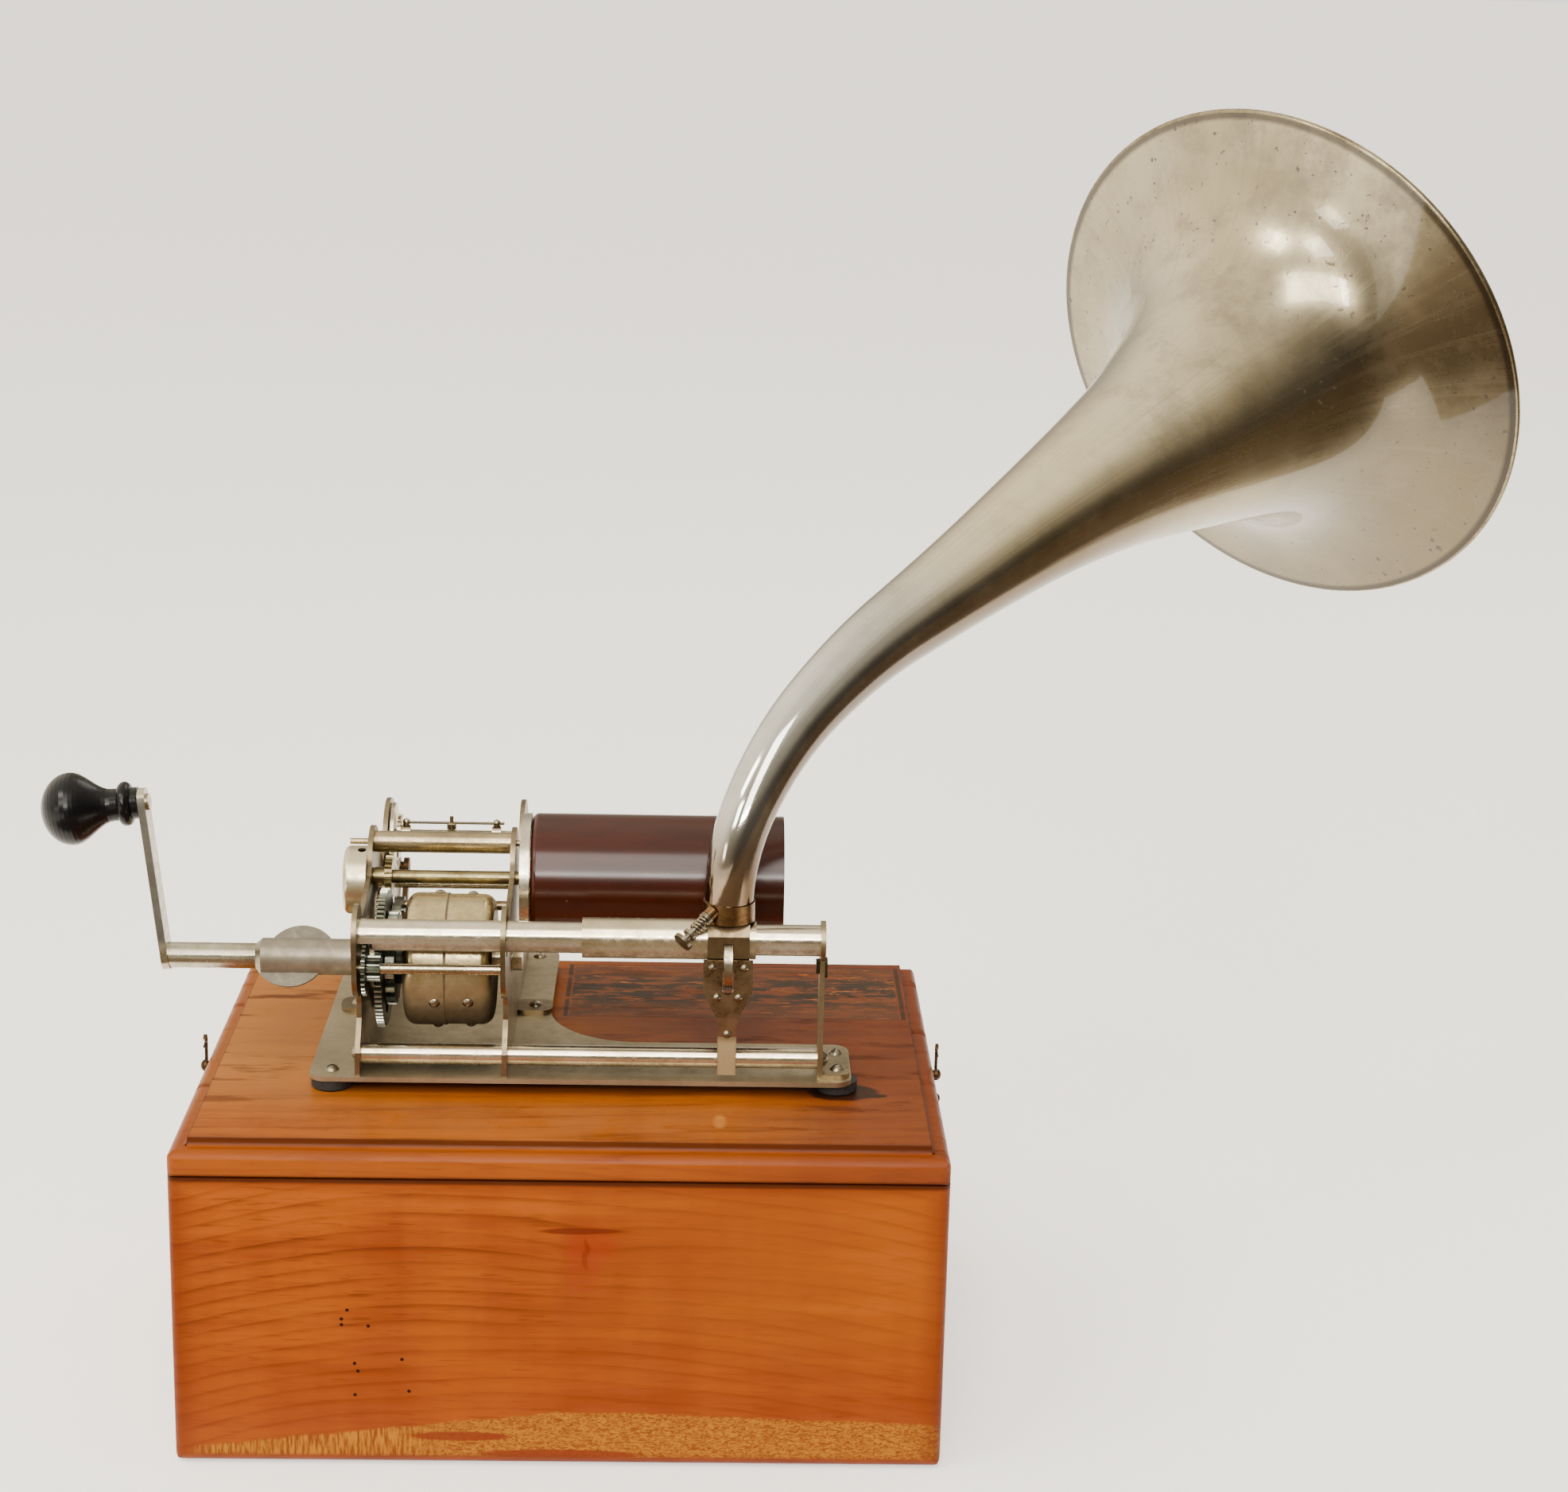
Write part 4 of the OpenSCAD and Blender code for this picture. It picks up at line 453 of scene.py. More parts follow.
def front_board():
    wood = Finish("cherry_front")
    x, _, z = wood.axes()
    knot = (1 + ((x - 0.012) / 0.032) ** 2 + ((z - 0.098) / 0.017) ** 2) ** -1.0
    phase = rings(wood, wood.place, (-0.03, -0.2), 0.0064, x * x * 0.75 + knot * 0.007)
    colour, fibre, streak = grain_colour(wood, wood.place, phase, tint("#8f4505"), tint("#6d2a04"),
                                         tint("#471a02"), 0.45)
    golden = x.fade(-0.08, 0.12) * z.fade(0.02, 0.06) * 0.45
    colour = wood.mix(golden, colour, tint("#914908"))
    # Darker towards the bottom of the board: painted shade.
    colour = wood.mix((1 - z.fade(0.025, 0.075)) * 0.4, colour, tint("#783008"))
    slash = spot(x, z, (0.009, 0.104 + (streak - 0.5) * 0.004), (0.022, 0.0017)).fade(0.05, 0.7)
    upright = spot(x, z, (0.0105 + (streak - 0.5) * 0.006, 0.094), (0.0016, 0.009)).fade(0.05, 0.8)
    slash = slash.most(upright * 0.6)
    blush = spot(x, z, (0.0125, 0.097), (0.014, 0.012)) * 0.7
    blush = blush + spot(x, z, (0.009, 0.087), (0.01, 0.012)) * 0.4
    colour = wood.mix(blush * streak.fade(0.2, 0.6), colour, tint("#7c2606"))
    colour = wood.mix(slash * streak.fade(0.15, 0.5) * 0.8, colour, tint("#541802"))
    pale, cover = sapwood(wood, x, z)
    colour = wood.mix(cover, colour, pale)
    hole = None
    for at in WORM_HOLES:
        dot = spot(x, z, at, (0.0009, 0.0009)).fade(0.1, 0.4)
        hole = dot if hole is None else hole.most(dot)
    colour = wood.mix(hole, colour, tint("#210c03"))
    # Painted shade along the board's sides, bottom and top; the dark strip at the very top is a painted shadow
    # under the board's lip.
    edge = x.size().fade(0.142, 0.156).most(1 - z.fade(0.0, 0.007)).most(z.fade(0.117, 0.125))
    colour = wood.mix(edge * 0.6, colour, tint("#5c2005"))
    colour = wood.mix(z.fade(0.1225, 0.1242) * 0.8, colour, tint("#2c0f03"))
    return varnish(wood, colour, fibre, streak)


FRONT = front_board()
print("front board nodes", len(FRONT.node_tree.nodes))

# %% [markdown]
# ## The base board
# The board's top has lived a harder life. Its front strip is golden, the left is bleached, the back is
# redder and grimy, and one rubber foot has left a black stain. Behind the tube lies an old dark panel with a
# border line, whose paint has mostly flaked off. All of these are masks too, placed in metres on the board.

# %% Base board
def worn_panel(wood, x, y, colour):
    """A bordered dark panel, worn down to flakes."""
    inside = (x - 0.0705).size().most(((y - 0.07) * 2.186).size())
    border = 1 - ((inside - 0.0755).size() - 0.0007).fade(0.0, 0.0006)
    field = 1 - inside.fade(0.073, 0.0745)
    flake = wood.noise((55, 230, 60), detail=7, rough=0.72)
    middle = 1 - ((y - 0.071).size()).fade(0.01, 0.027)
    colour = wood.mix(field * 0.8, colour, tint("#6d3a1d"))
    colour = wood.mix(field * flake.fade(0.46, 0.5) * (0.45 + middle * 0.5), colour, tint("#2e251c"))
    bare = wood.noise((60, 260, 60), detail=6, rough=0.72).fade(0.6, 0.64)
    colour = wood.mix(field * bare * 0.85, colour, tint("#a05a26"))
    gaps = wood.noise((60, 120, 60), detail=4).fade(0.3, 0.42)
    return wood.mix(border * gaps * 0.85, colour, tint("#281d14"))


def top_board():
    wood = Finish("cherry_board")
    x, y, z = wood.axes()
    eye = spot(x, y, (-0.125, -0.012), (0.05, 0.03))
    phase = rings(wood, wood.place, (0.05, -0.12), 0.0055, x * 0.03 + eye * 0.014)
    colour, fibre, streak = grain_colour(wood, wood.place, phase, tint("#954d05"), tint("#713204"),
                                         tint("#552503"), 0.42)
    left = (1 - x.fade(-0.13, -0.03)) * y.fade(-0.1, -0.03)
    colour = wood.mix(left * 0.6, colour, tint("#9c672b"))
    back = x.fade(-0.02, 0.06) * y.fade(-0.06, 0.02)
    right = x.fade(0.06, 0.13)
    colour = wood.mix(back.most(right * 0.85) * 0.7, colour, tint("#542413"))
    smear = wood.noise((13, 80, 80), detail=5, rough=0.62)
    grime = smear.fade(0.55, 0.66) * (left * 0.8 + back * 0.9 + right * 0.6 + 0.35).least(1.0)
    colour = wood.mix(grime * 0.75, colour, tint("#3f1a0a"))
    pale = spot(x, y, (0.0634, -0.087), (0.0035, 0.009)) * streak.fade(0.2, 0.6) * 0.6
    colour = wood.mix(pale, colour, tint("#c9873f"))
    stain = spot(x, y, (0.115, -0.053), (0.02, 0.0125)).most(spot(x, y, (0.1275, -0.0565), (0.008, 0.003)))
    stain = (stain * (0.5 + wood.noise(160, detail=4))).fade(0.25, 0.6)
    colour = wood.mix(stain * 0.9, colour, tint("#20130b"))
    colour = worn_panel(wood, x, y, colour)
    beyond = (x.size() - 0.1485).most(y.size() - 0.1095)
    colour = wood.mix(beyond.fade(-0.0004, 0.0004) * 0.55, colour, tint("#733004"))
    # Painted shade: a dark line in the moulding's inner corner, and a painted shadow on the board's lower edge
    # under its lip.
    corner = 1 - (beyond - 0.0003).size().fade(0.0003, 0.0011)
    under = 1 - z.fade(0.1252, 0.1275)
    colour = wood.mix((corner * 0.7).most(under * 0.7), colour, tint("#361404"))
    return varnish(wood, colour, fibre, streak, 0.14, grime)


BOARD = top_board()
WOOD = {"box_front": FRONT, "box_back": BACK, "box_left": LEFT, "box_right": RIGHT, "box_floor": BOTTOM,
        "base_board": BOARD}
print("base board nodes", len(BOARD.node_tree.nodes))

# %% [markdown]
# ## Old plating
# Nickel that has been handled for a century is bright only in places: clouds of dull tarnish, brown stains
# where rust comes through, and a sprinkle of dark pits. One recipe makes them all. Its numbers say how bright
# the metal is, how much of it is stained, and which extra mask darkens it: more stains on the key's wings, and
# painted shade and painted reflection on the undersides of the rods and the barrel and on the crank arm's front
# face.

# %% Metal finishes
_, WINDING_Y, WINDING_Z = joints["winding_turn"]["pos_m"]
BARREL_LAP_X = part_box("barrel_left")[1][0] + 0.0002
LEG_X = sum(corner[0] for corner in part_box("leg_plate")) / 2


def old_metal(name, bright, dull, stain, shine=0.2, stained=0.3, pitted=0.3, cloud=26, stain_and_shade_mask=None, grain=0.08):
    """Plating with clouds of tarnish, brown stains and pits; an extra mask may add more stains and painted
    shade.
    """
    metal = Finish(name)
    haze = metal.noise(cloud, detail=4, rough=0.6)
    mottle = metal.noise(cloud * 7, detail=5, rough=0.66)
    grit = metal.noise(850, detail=3, rough=0.6)
    colour = metal.mix((haze * 0.65 + mottle * 0.35).fade(0.36, 0.66), tint(bright), tint(dull))
    # Tarnish stains, joined by the extra mask, which for some parts is painted shade and painted reflection;
    # together they darken towards the stain colour.
    darkening = (haze * 0.45 + mottle * 0.55).fade(0.74 - 0.26 * stained, 0.88 - 0.26 * stained)
    if stain_and_shade_mask is not None:
        darkening = darkening.most(stain_and_shade_mask(metal, mottle))
    colour = metal.mix(darkening * 0.85, colour, tint(stain))
    pit = grit.fade(0.75 - 0.16 * pitted, 0.8 - 0.16 * pitted)
    colour = metal.mix(pit * 0.7, colour, tint("#2e2115"))
    rough = shine + mottle.fade(0.35, 0.75) * 0.14 + darkening * 0.25 + pit * 0.2
    metal.set(base_color=colour, roughness=rough, metallic=1 - darkening * 0.55 - pit * 0.3)
    metal.set(normal=metal.bump(mottle * 0.4 + grit * 0.6 - pit * 0.8, grain, 0.0004))
    return metal.material


def below(name, start, full, strength):
    """Darkening on a rod's underside, partly rust and partly painted shade and painted reflection of the wood
    below, that starts at one share of the rod's height and is full at a lower one.
    """
    low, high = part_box(name)
    height = high[2] - low[2]

    def mask(metal, mottle):
        _, _, z = metal.axes()
        clean = z.fade(low[2] + full * height, low[2] + start * height)
        return (1 - clean) * (0.35 + mottle).fade(0.35, 1.0) * strength
    return mask


def barrel_grime_and_shade(metal, mottle):
    """Painted shade and painted reflection of the wood on the barrel's underside, mixed with grime, and grime
    in the lap where its two halves meet.
    """
    x, _, z = metal.axes()
    # The underside: painted shade and painted reflection of the wood, broken up by the mottle.
    under = (1 - z.fade(WINDING_Z - 0.0152, WINDING_Z + 0.0058)) * (0.6 + mottle).fade(0.6, 0.95)
    lap = 1 - (x - BARREL_LAP_X).size().fade(0.0003, 0.0008)
    return under.most(lap * 0.9)


def arm_front(metal, mottle):
    """The crank's arm, which stands above its rod, is painted dark on its front face: a painted reflection of
    the dark floor in front.
    """
    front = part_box("crank")[0][1]
    _, y, z = metal.axes()
    arm = z.fade(WINDING_Z + 0.0028, WINDING_Z + 0.0088)
    return arm * (1 - y.fade(front + 0.0006, front + 0.0014)) * (0.7 + mottle).least(1.0)


def wing_grey(metal, mottle):
    """The key's wings, which stand out from its socket, have gone grey."""
    _, y, z = metal.axes()
    reach = ((y - WINDING_Y) ** 2 + (z - WINDING_Z) ** 2) ** 0.5
    return reach.fade(0.0072, 0.0082) * (0.5 + mottle).fade(0.5, 0.95)


def leg_finish():
    """The carriage's leg: brown and rusty above, with a bright strap round the lower rod."""
    metal = Finish("brown_leg")
    x, _, z = metal.axes()
    strap = 1 - z.fade(0.1655, 0.1665)
    # Painted shade: the strap's sides and its top edge are darkened with the rust colour.
    border = (x - LEG_X).size().fade(0.003, 0.0042).most(z.fade(0.1625, 0.1655))
    haze = metal.noise(80, detail=5, rough=0.65)
    grit = metal.noise(850, detail=3)
    colour = metal.mix(haze.fade(0.35, 0.65), tint("#94846a"), tint("#6e5e45"))
    darkening = (haze * 0.6 + grit * 0.4).fade(0.52, 0.64) * (1 - strap * 0.7)
    colour = metal.mix(strap, colour, tint("#b0a079"))
    colour = metal.mix(darkening.most(border * strap * 0.6) * 0.8, colour, tint("#3d2611"))
    metal.set(base_color=colour, roughness=0.34 + darkening * 0.25 + strap * 0.12, metallic=0.95 - strap * 0.4)
    metal.set(normal=metal.bump(grit, 0.08, 0.0004))
    return metal.material


# Bright, dull and stained colours, then shine, stained, pitted, cloud, extra stain and shade mask, and grain
NICKEL = old_metal("worn_nickel", "#d3c8ab", "#b0a484", "#6d4d28", 0.26, 0.2, 0.25)
SHEET = old_metal("dull_sheet", "#b7aa8e", "#9a8e74", "#594327", 0.42, 0.22, 0.25, 20, None, 0.05)
PLATE = old_metal("plate_sheet", "#94856a", "#70634a", "#452c14", 0.32, 0.45, 0.2, 45, None, 0.03)
STRAP = old_metal("strap_sheet", "#a8997a", "#85775b", "#553c20", 0.34, 0.35, 0.3, 60)
# The lower rod, the guide tube and the sleeve darken underneath: partly rust, partly painted shade and painted
# reflection of the wood below.
ROD = old_metal("bright_rod", "#d9ceb4", "#b8ab8c", "#64391a", 0.17, 0.22, 0.15, 40,
                below("lower_rod", 0.512, 0.047, 0.4), 0.015)
UPPER_ROD = old_metal("tarnished_rod", "#b0a080", "#8c7c5e", "#5d4122", 0.26, 0.35, 0.1, 45, None, 0.015)
TUBE = old_metal("guide_tube_nickel", "#e0d6bf", "#c4b89c", "#523418", 0.16, 0.1, 0.05, 30,
                 below("guide_tube", 0.586, 0.263, 0.9), 0.015)
SLEEVE = old_metal("sleeve_nickel", "#d3c7a9", "#b1a382", "#563a1c", 0.2, 0.1, 0.05, 36,
                   below("carriage_sleeve", 0.537, 0.226, 0.9), 0.015)
CARRIAGE = old_metal("carriage_nickel", "#85745a", "#5c4d36", "#3a2310", 0.28, 0.45, 0.3, 70, None, 0.04)
COLLAR = old_metal("brown_collar", "#8a6a46", "#5e472c", "#35200e", 0.24, 0.45, 0.2, 90, None, 0.03)
LEG = leg_finish()
# The barrel's underside is painted shade and painted reflection mixed with grime; its lap is grime.
BARREL = old_metal("barrel_nickel", "#d2c196", "#a9976e", "#2e1a07", 0.24, 0.22, 0.1, 40, barrel_grime_and_shade, 0.02)
CRANK = old_metal("crank_nickel", "#b3aa97", "#8b8270", "#5c564a", 0.26, 0.2, 0.1, 40, wing_grey, 0.02)
THUMB = old_metal("thumb_steel", "#8f8672", "#665d4b", "#3d2c18", 0.28, 0.35, 0.2, 120, None, 0.03)
# The arm's dark stain colour also paints its front face dark, as a painted reflection.
ARM = old_metal("arm_nickel", "#c4bca8", "#989079", "#2a2824", 0.2, 0.2, 0.15, 40, arm_front, 0.03)
SCREW = old_metal("screw_steel", "#958b77", "#6d6350", "#3f2c17", 0.26, 0.3, 0.2, 120, None, 0.03)
CLICK = old_metal("oiled_click", "#4d5042", "#2b2d24", "#33250f", 0.3, 0.25, 0.2, 70)
SHAFT = old_metal("turned_steel", "#cabfa5", "#9f9377", "#67481f", 0.2, 0.2, 0.2, 60)
BRASS = old_metal("tarnished_brass", "#9a8d66", "#6d6244", "#3a3318", 0.28, 0.45, 0.2, 70)
DRUM = old_metal("bright_drum", "#d6cfbd", "#bbb19a", "#86724f", 0.22, 0.05, 0.1, 50)
SPRING = old_metal("grey_spring", "#b8ad98", "#8b806a", "#57442b", 0.24, 0.2, 0.2, 90)
IRON = old_metal("brown_iron", "#5f4730", "#40301f", "#331c0c", 0.45, 0.5, 0.4, 150)
CLIP = old_metal("dark_clip", "#45402f", "#2d2a20", "#281c0e", 0.4, 0.3, 0.2, 150)
print("metal finishes", [m.name for m in (NICKEL, SHEET, ROD, BARREL, CLICK)])

# %% [markdown]
# ## Gears
# A gear in old oil is dark in its hollows, and its tooth tips are painted bright: partly where the teeth rub,
# and partly a painted highlight for the glints on their edges. The box of a gear's node gives its axle and its
# radius, so the distance from the axle tells the tips from the hollows.

# %% Gear finishes
def gear_finish(name):
    """Dark oil with tooth tips painted bright, partly rub wear and partly a painted highlight, for one gear
    that turns about a line along X.
    """
    low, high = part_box(name)
    axle, radius = (Vector(low) + Vector(high)) / 2, (high[2] - low[2]) / 2
    metal = Finish(name + "_steel")
    _, y, z = metal.axes()
    reach = ((y - axle.y) ** 2 + (z - axle.z) ** 2) ** 0.5
    tip = reach.fade(radius - 0.0012, radius - 0.0003)
    oil = metal.noise(160, detail=5, rough=0.65)
    colour = metal.mix(oil.fade(0.35, 0.65), tint("#4c5142"), tint("#272a21"))
    # Painted highlight on the tooth tips, partly rub wear.
    colour = metal.mix(tip * (1.2 - oil).least(1.0), colour, tint("#c3c6b6"))
    metal.set(base_color=colour, roughness=0.36 - tip * 0.14 + oil * 0.1, metallic=0.9)
    metal.set(normal=metal.bump(oil, 0.05, 0.0004))
    return metal.material


GEARS = {name: gear_finish(name) for name in ("great_wheel", "front_pinion", "front_gear", "ratchet_wheel")}
print("gears", [m.name for m in GEARS.values()])

# %% [markdown]
# ## Wax, lacquer and rubber
# The record is brown wax cut with a groove so fine that it only softens the shine. The knob is turned wood
# under black lacquer, and the feet are black rubber. These three are not metal, so a plain base colour with a
# varied roughness does most of the work.

# %% Wax, lacquer and rubber
def wax_finish():
    wax = Finish("brown_wax")
    x, _, _ = wax.axes()
    groove = (x * 4000).part()
    cloud = wax.noise((30, 90, 90), detail=4)
    colour = wax.mix(cloud.fade(0.35, 0.7), tint("#351206"), tint("#2a0d04"))
    dust = wax.noise(600, detail=2).fade(0.74, 0.78)
    colour = wax.mix(dust * 0.25, colour, tint("#8a6046"))
    wax.set(base_color=colour, roughness=0.16 + cloud * 0.08 + dust * 0.2, specular_ior_level=0.34)
    wax.set(normal=wax.bump((groove - 0.5).size(), 0.05, 0.0001))
    return wax.material


def lacquer_finish():
    lacquer = Finish("black_lacquer")
    rub = lacquer.noise(220, detail=5, rough=0.7)
    colour = lacquer.mix(rub.fade(0.6, 0.8), tint("#060608"), tint("#141211"))
    lacquer.set(base_color=colour, roughness=0.24 + rub.fade(0.5, 0.8) * 0.12, specular_ior_level=0.25)
    return lacquer.material


def rubber_finish():
    rubber = Finish("black_rubber")
    grain = rubber.noise(700, detail=4)
    colour = rubber.mix(grain.fade(0.4, 0.75), tint("#1b1a19"), tint("#2f2c29"))
    rubber.set(base_color=colour, roughness=0.6 + grain * 0.2, normal=rubber.bump(grain, 0.2, 0.0004))
    return rubber.material


WAX, LACQUER, RUBBER = wax_finish(), lacquer_finish(), rubber_finish()
print("wax, lacquer and rubber are ready")

# %% [markdown]
# ## The horn's nickel
# The horn is spun sheet with a thin plating that has clouded over, with grey blooms and dark specks near the
# rim and a smoother, mirror-like neck. Light is painted on it as well: a painted highlight on its upper side,
# painted shade and a painted reflection of the brown wood along its lower right side, painted shade on the
# bell's lower side and dark painted reflections on the right of the brim. The piece will carry three numbers of
# its own, so that the wear and the painted light can follow the sheet: along is 0 at the neck and 1 at the rim,
# above is 1 on its upper side, and aside is 1 on its right.

# %% Horn finish
def horn_finish():
    metal = Finish("horn_nickel")
    along, above, aside = [metal.node("ShaderNodeAttribute", {"attribute_name": key}, {}, "Fac")
                           for key in ("along", "above", "aside")]
    bell = along.fade(0.55, 0.9)
    bloom = metal.noise(11, detail=5, rough=0.62)
    haze = metal.noise(36, detail=6, rough=0.68)
    round_about = metal.node("ShaderNodeCombineXYZ", {}, [above, aside, along])
    drawn = metal.noise((22, 22, 2.4), round_about, detail=5, rough=0.7)
    fine = metal.noise(420, detail=4, rough=0.7)
    colour = metal.mix(bloom.fade(0.34, 0.66), tint("#d2c6a6"), tint("#b4a681"))
    colour = metal.mix((1 - along.fade(0.2, 0.6)) * 0.8, colour, tint("#cccdca"))
    foot = 1 - along.fade(0.03, 0.1)
    colour = metal.mix(foot * 0.8, colour, tint("#7a5a36"))
    # Painted shade and a painted reflection of the brown wood along the horn's lower right side.
    shade = (aside * 0.85 - above * 0.5 + (haze - 0.5) * 0.5).fade(0.45, 0.95)
    shade = shade * (1 - bell * (1 - above.fade(-0.75, -0.3)))
    colour = metal.mix(shade * (0.78 - bell * 0.5), colour, tint("#4f341c"))
    # Dark painted reflections on the right of the brim, broken up by the clouds.
    patches = aside * 0.75 - above * 0.3 + (bloom - 0.5) * 1.2 + (haze - 0.5)
    brim = along.fade(0.75, 0.97) * patches.fade(-0.25, 0.75)
    colour = metal.mix(brim * 0.92, colour, tint("#4c463a"))
    # A painted highlight on the upper side of the horn's middle.
    upper = along.fade(0.3, 0.5) * (1 - bell) * above.fade(0.1, 0.7)
    colour = metal.mix(upper * 0.7, colour, tint("#e6dab6"))
    # The bell is darker towards the rim, a tarnished tone, and painted shade darkens its lower side.
    lower = along.fade(0.75, 1.0) * (1 - above.fade(-0.6, 0.2))
    colour = metal.mix((along.fade(0.7, 1.0) * 0.4).most(lower * 0.85), colour, tint("#786a4c"))
    colour = metal.mix(haze.fade(0.42, 0.7) * (0.2 + bell * 0.5), colour, tint("#7f745d"))
    colour = metal.mix(drawn.fade(0.5, 0.72) * 0.35, colour, tint("#857a62"))
    speck = metal.noise(260, detail=2).fade(0.67, 0.71) * along.fade(0.8, 1.0)
    colour = metal.mix(speck * 0.85, colour, tint("#3c2e1c"))
    seam = along.fade(0.9975, 0.999)
    colour = metal.mix(seam * 0.8, colour, tint("#2a2116"))
    rough = 0.07 + along.fade(0.25, 0.6) * 0.06 + bell * 0.08 + haze.fade(0.4, 0.8) * (0.03 + bell * 0.08)
    rough = rough + shade * 0.05 + fine * 0.03 + drawn.fade(0.45, 0.75) * 0.08
    metal.set(base_color=colour, roughness=rough, metallic=1 - speck * 0.5)
    metal.set(coat_weight=bell * 0.9, coat_roughness=0.05)
    metal.set(normal=metal.bump(haze * 0.8 + fine * 0.2, 0.04, 0.0008))
    return metal.material


HORN = horn_finish()
RIM = old_metal("rim_nickel", "#a09478", "#6f644c", "#3c2e1a", 0.22, 0.45, 0.3, 60)
print("horn finish", HORN.name)

# %% [markdown]
# ## Dressing the frame
# Most nodes have the right shape already, so they only change their material. A table from finish to nodes
# keeps that readable, and the cell prints the nodes that the table leaves out before it dresses them.

# %% Dress the nodes
DRESS = [
    (SHEET, "base_plate"),
    (PLATE, "left_plate mid_plate"),
    (STRAP, "bracket"),
    (NICKEL, "bearing_cup"),
    (UPPER_ROD, "upper_rod"),
    (ROD, "lower_rod"),
    (TUBE, "guide_tube"),
    (SLEEVE, "carriage_sleeve"),
    (CARRIAGE, "yoke reproducer stylus"),
    (COLLAR, "horn_collar"),
    (LEG, "leg_plate"),
    (BARREL, "barrel_left barrel_right"),
    (ARM, "crank"),
    (CRANK, "wing_key"),
    (THUMB, "thumbscrew"),
    (SCREW, "base_screws rod_screws barrel_screws leg_rivets"),
    (CLICK, "click"),
    (SHAFT, "front_shaft winding_shaft drive_sleeve feed_screw governor_shaft friction_disc governor_weights "
            "first_idler second_idler"),
    (BRASS, "mandrel_shaft"),
    (DRUM, "mandrel"),
    (SPRING, "leaf_spring governor_springs main_spring thumb_spring"),
    (IRON, "hook_left hook_right hook_screws catch_pins brake_lever"),
    (CLIP, "bracket_clip"),
    (WAX, "record"),
    (LACQUER, "knob"),
    (RUBBER, "rubber_feet"),
    (HORN, "horn"),
    (RIM, "horn_rim"),
]
finish_of = {**WOOD, **GEARS}
for material, names in DRESS:
    for name in names.split():
        finish_of[name] = material
print("undressed nodes", sorted(set(nodes) - set(finish_of)))
for name, node in nodes.items():
    node.data.materials.clear()
    node.data.materials.append(finish_of[name])

# %% [markdown]
# ## The horn
# In the frame the horn is a faceted tube. Here the same middle line and widening are followed with finer
# rings: one circle is extruded again and again, and each new ring is carried from the last one's frame to
# its own. Going back along the inside makes the sheet's thickness, so the bell is a closed shell with a
# real edge.

# %% Horn
MM = 0.001
HORN_LENGTH = 462.0
HORN_BASE = Vector(joints["horn_swing"]["pos_m"]) / MM
COLLAR_HEIGHT = 8.0
# Share of the length and climb of the middle line there, in degrees
CLIMBS = [(0.1082, 54.7), (0.2164, 31.6), (0.3463, 18.5), (0.5195, 18.7), (0.7359, 13.8), (1.013, 20.2)]
HORN_BEND = [(COLLAR_HEIGHT, 90.0)] + [(share * HORN_LENGTH, climb) for share, climb in CLIMBS]
HORN_TURN = math.radians(43)
HORN_RINGS, HORN_SIDES = 84, 96
NECK_RADIUS, NECK_TAPER = 9.8, 0.015
BELL_RISE, BELL_REACH = 68, 130
LIP_RISE, LIP_REACH = 44, 14


def horn_radius(s):
    """Outer radius in millimetres: a slow taper, the bell's flare and the lip's quick one."""
    left = s - HORN_LENGTH
    flare = BELL_RISE * (math.exp(left / BELL_REACH) - math.exp(-HORN_LENGTH / BELL_REACH))
    return NECK_RADIUS + NECK_TAPER * s + flare + LIP_RISE * math.exp(left / LIP_REACH)


def horn_wall(s):
    """What a sheet one millimetre thick takes off the radius where the wall leans outwards."""
    left = s - HORN_LENGTH
    bell = BELL_RISE / BELL_REACH * math.exp(left / BELL_REACH)
    slope = NECK_TAPER + bell + LIP_RISE / LIP_REACH * math.exp(left / LIP_REACH)
    return math.sqrt(1 + slope * slope)


def horn_lift(s):
    """How steeply the middle line climbs, in radians."""
    for (s0, a0), (s1, a1) in zip(HORN_BEND, HORN_BEND[1:]):
        if s < s1:
            return math.radians(a0 + (a1 - a0) * max(0.0, s - s0) / (s1 - s0))
    return math.radians(HORN_BEND[-1][1])


def horn_frames():
    """Each ring's distance along the horn and its unscaled frame."""
    out_way = Vector((math.sin(HORN_TURN), math.cos(HORN_TURN), 0))
    aside = Vector((math.cos(HORN_TURN), -math.sin(HORN_TURN), 0))
    stops = [HORN_LENGTH * (1 - (1 - i / HORN_RINGS) ** 1.35) for i in range(HORN_RINGS + 1)]
    centre, frames = HORN_BASE.copy(), []
    for s, following in zip(stops, stops[1:] + [HORN_LENGTH]):
        lift = horn_lift(s)
        up = Vector((0, 0, math.cos(lift))) - math.sin(lift) * out_way
        ahead = math.cos(lift) * out_way + Vector((0, 0, math.sin(lift)))
        axes = Matrix((up, aside, ahead)).transposed().to_4x4()
        frames.append((s, Matrix.Translation(centre * MM) @ axes))
        middle = horn_lift((s + following) / 2)
        centre = centre + (following - s) * (math.cos(middle) * out_way + Vector((0, 0, math.sin(middle))))
    return frames


def new_piece(name, form, body, finish, smooth_angle=40):
    """Turn a bmesh into an object that rides a body and has its finish."""
    mesh = bpy.data.meshes.new(name)
    form.to_mesh(mesh)
    form.free()
    mesh.materials.append(finish)
    mesh.shade_smooth()
    mesh.set_sharp_from_angle(angle=math.radians(smooth_angle))
    piece = bpy.data.objects.new(name, mesh)
    bpy.context.scene.collection.objects.link(piece)
    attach(piece, body)
    return piece


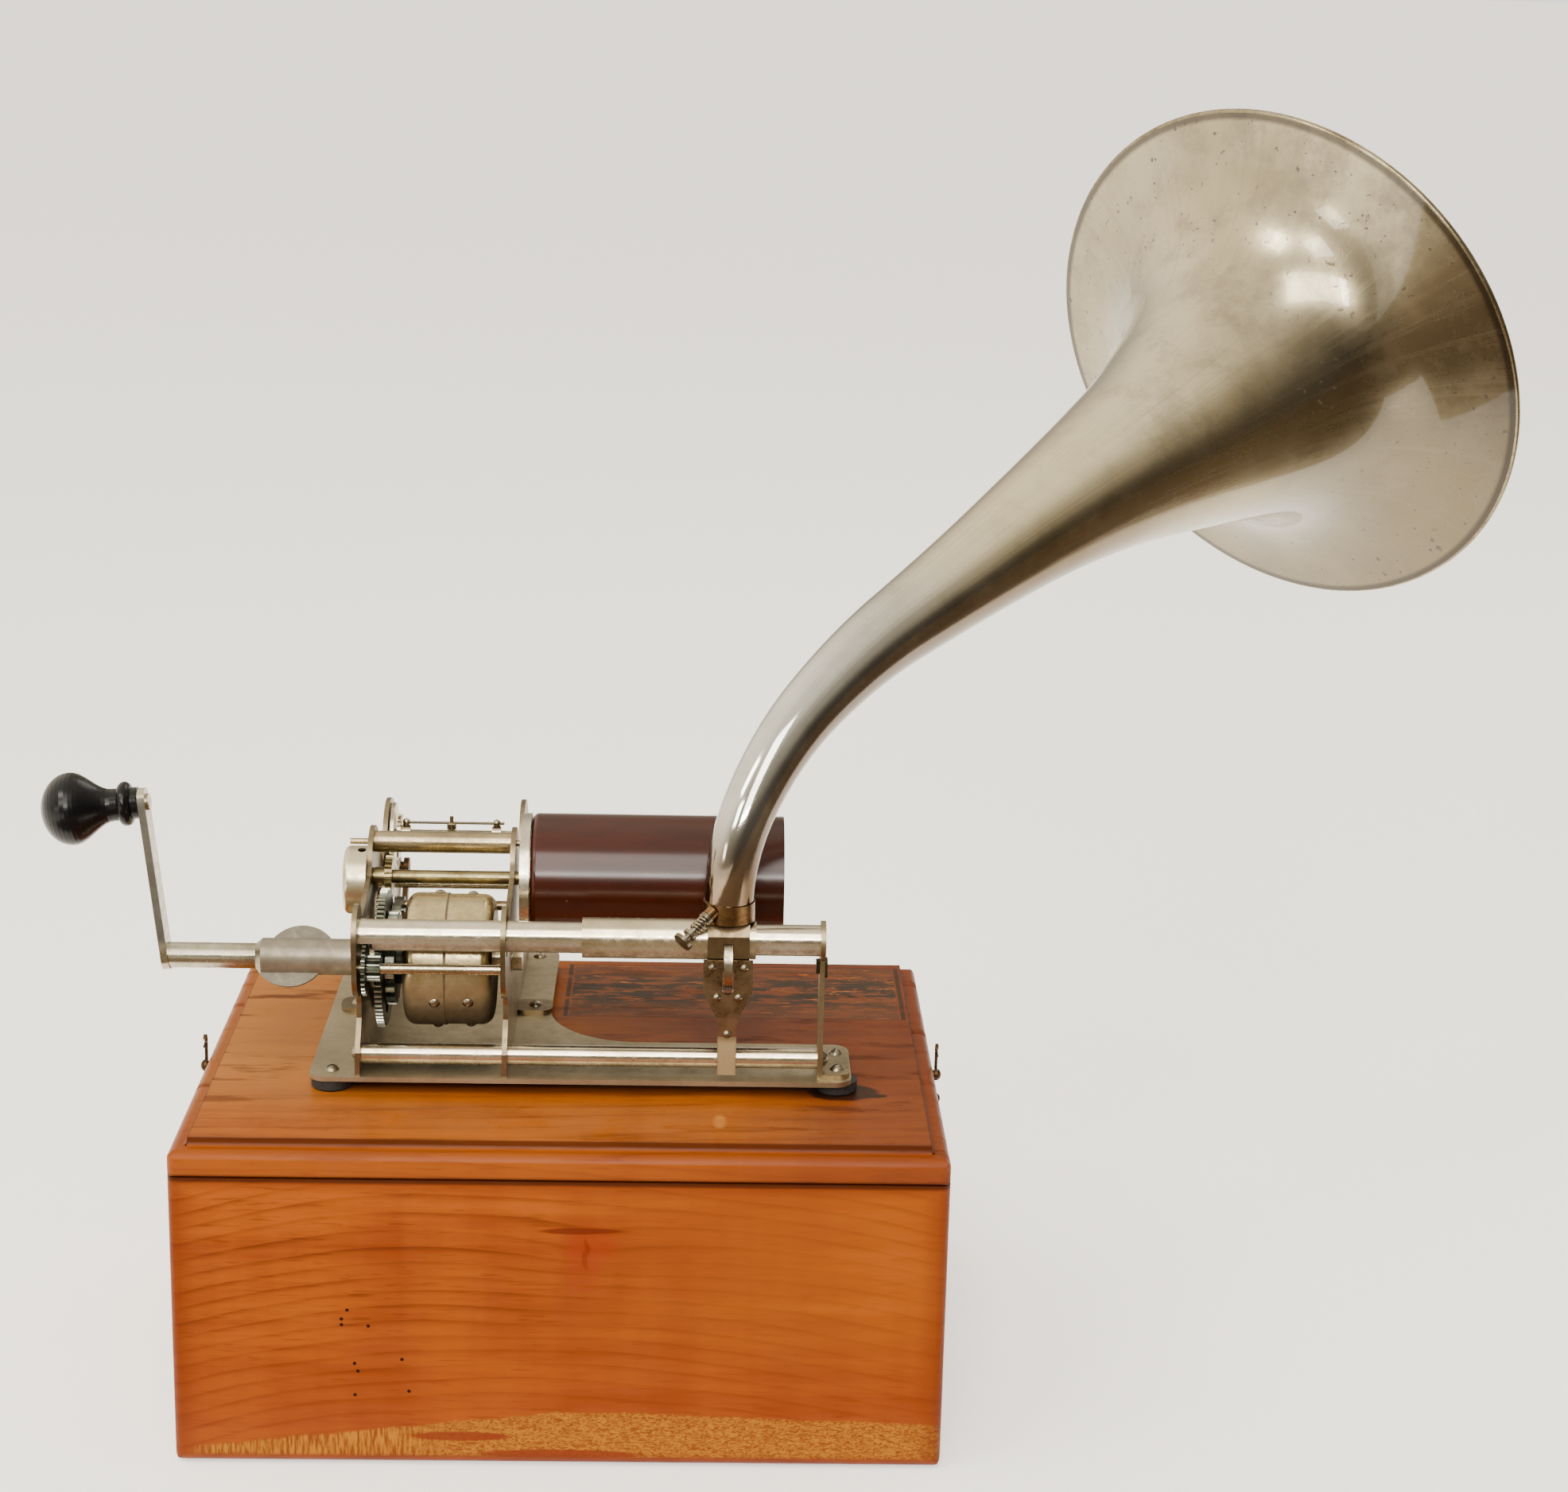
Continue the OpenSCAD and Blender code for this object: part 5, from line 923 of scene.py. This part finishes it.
def build_horn():
    frames = horn_frames()
    outside = [(s, m, horn_radius(s) * MM) for s, m in frames]
    inside = [(s, m, (horn_radius(s) - horn_wall(s)) * MM) for s, m in frames[::-1]]
    form = bmesh.new()
    layers = [form.verts.layers.float.new(key) for key in ("along", "above", "aside")]
    verts = bmesh.ops.create_circle(form, segments=HORN_SIDES, radius=1.0)["verts"]
    first_edges = edges = list(form.edges)
    before = Matrix.Identity(4)
    for s, place, radius in outside + inside:
        if before != Matrix.Identity(4):
            grown = bmesh.ops.extrude_edge_only(form, edges=edges)["geom"]
            verts = [g for g in grown if isinstance(g, bmesh.types.BMVert)]
            edges = [g for g in grown if isinstance(g, bmesh.types.BMEdge) and g.is_boundary]
        after = place @ Matrix.Scale(radius, 4)
        bmesh.ops.transform(form, matrix=after @ before.inverted(), verts=verts)
        for vert in verts:
            local = after.inverted() @ vert.co
            vert[layers[0]], vert[layers[1]], vert[layers[2]] = s / HORN_LENGTH, local.x, local.y
        before = after
    bmesh.ops.bridge_loops(form, edges=first_edges + edges)
    bmesh.ops.recalc_face_normals(form, faces=form.faces)
    horn = new_piece("horn_sheet", form, "horn_set", HORN, 50)
    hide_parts("horn")
    return horn, frames[-1][1]


horn, mouth = build_horn()
print("horn", len(horn.data.polygons), "faces, mouth at", [round(v, 3) for v in mouth.translation])

# %% [markdown]
# ## The thumbscrew's spring
# A coil is a small circle that is spun round an axis while it moves along it. The spin operator takes that
# move for each step, so four turns of wire are one call. It stands for the frame's coarser coil.

# %% Thumb spring
THUMB_BASE = Vector(joints["thumb_spin"]["pos_m"])
THUMB_WAY = Vector(joints["thumb_spin"]["axis"]).normalized()
COIL_RADIUS, COIL_WIRE, COIL_PITCH, COIL_START = 2.3 * MM, 0.42 * MM, 1.5 * MM, 5 * MM
COIL_TURNS, COIL_STEPS = 4, 28


def build_coil():
    form = bmesh.new()
    bmesh.ops.create_circle(form, cap_ends=True, segments=10, radius=COIL_WIRE)
    stand = Matrix.Translation((COIL_RADIUS, 0, COIL_START)) @ Matrix.Rotation(math.pi / 2, 4, "X")
    bmesh.ops.transform(form, matrix=stand, verts=form.verts)
    bmesh.ops.spin(form, geom=form.verts[:] + form.edges[:] + form.faces[:], cent=(0, 0, 0), axis=(0, 0, 1),
                   dvec=(0, 0, COIL_PITCH / COIL_STEPS), angle=2 * math.pi * COIL_TURNS,
                   steps=COIL_TURNS * COIL_STEPS, use_merge=False)
    bmesh.ops.remove_doubles(form, verts=form.verts, dist=1e-7)
    bmesh.ops.recalc_face_normals(form, faces=form.faces)
    turned = THUMB_WAY.to_track_quat("Z", "Y").to_matrix().to_4x4()
    bmesh.ops.transform(form, matrix=Matrix.Translation(THUMB_BASE) @ turned, verts=form.verts)
    coil = new_piece("thumb_coil", form, "thumb", SPRING)
    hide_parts("thumb_spring")
    return coil


coil = build_coil()
print("thumb spring", len(coil.data.polygons), "faces")

# %% [markdown]
# ## Measuring and finishing
# This cell measures the dressed model's box and prints its size. The dressed model has
# to keep to the frame's box.

# %% Sizes and finish
low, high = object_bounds()
print("visual box", [round(b - a, 4) for a, b in zip(low, high)])
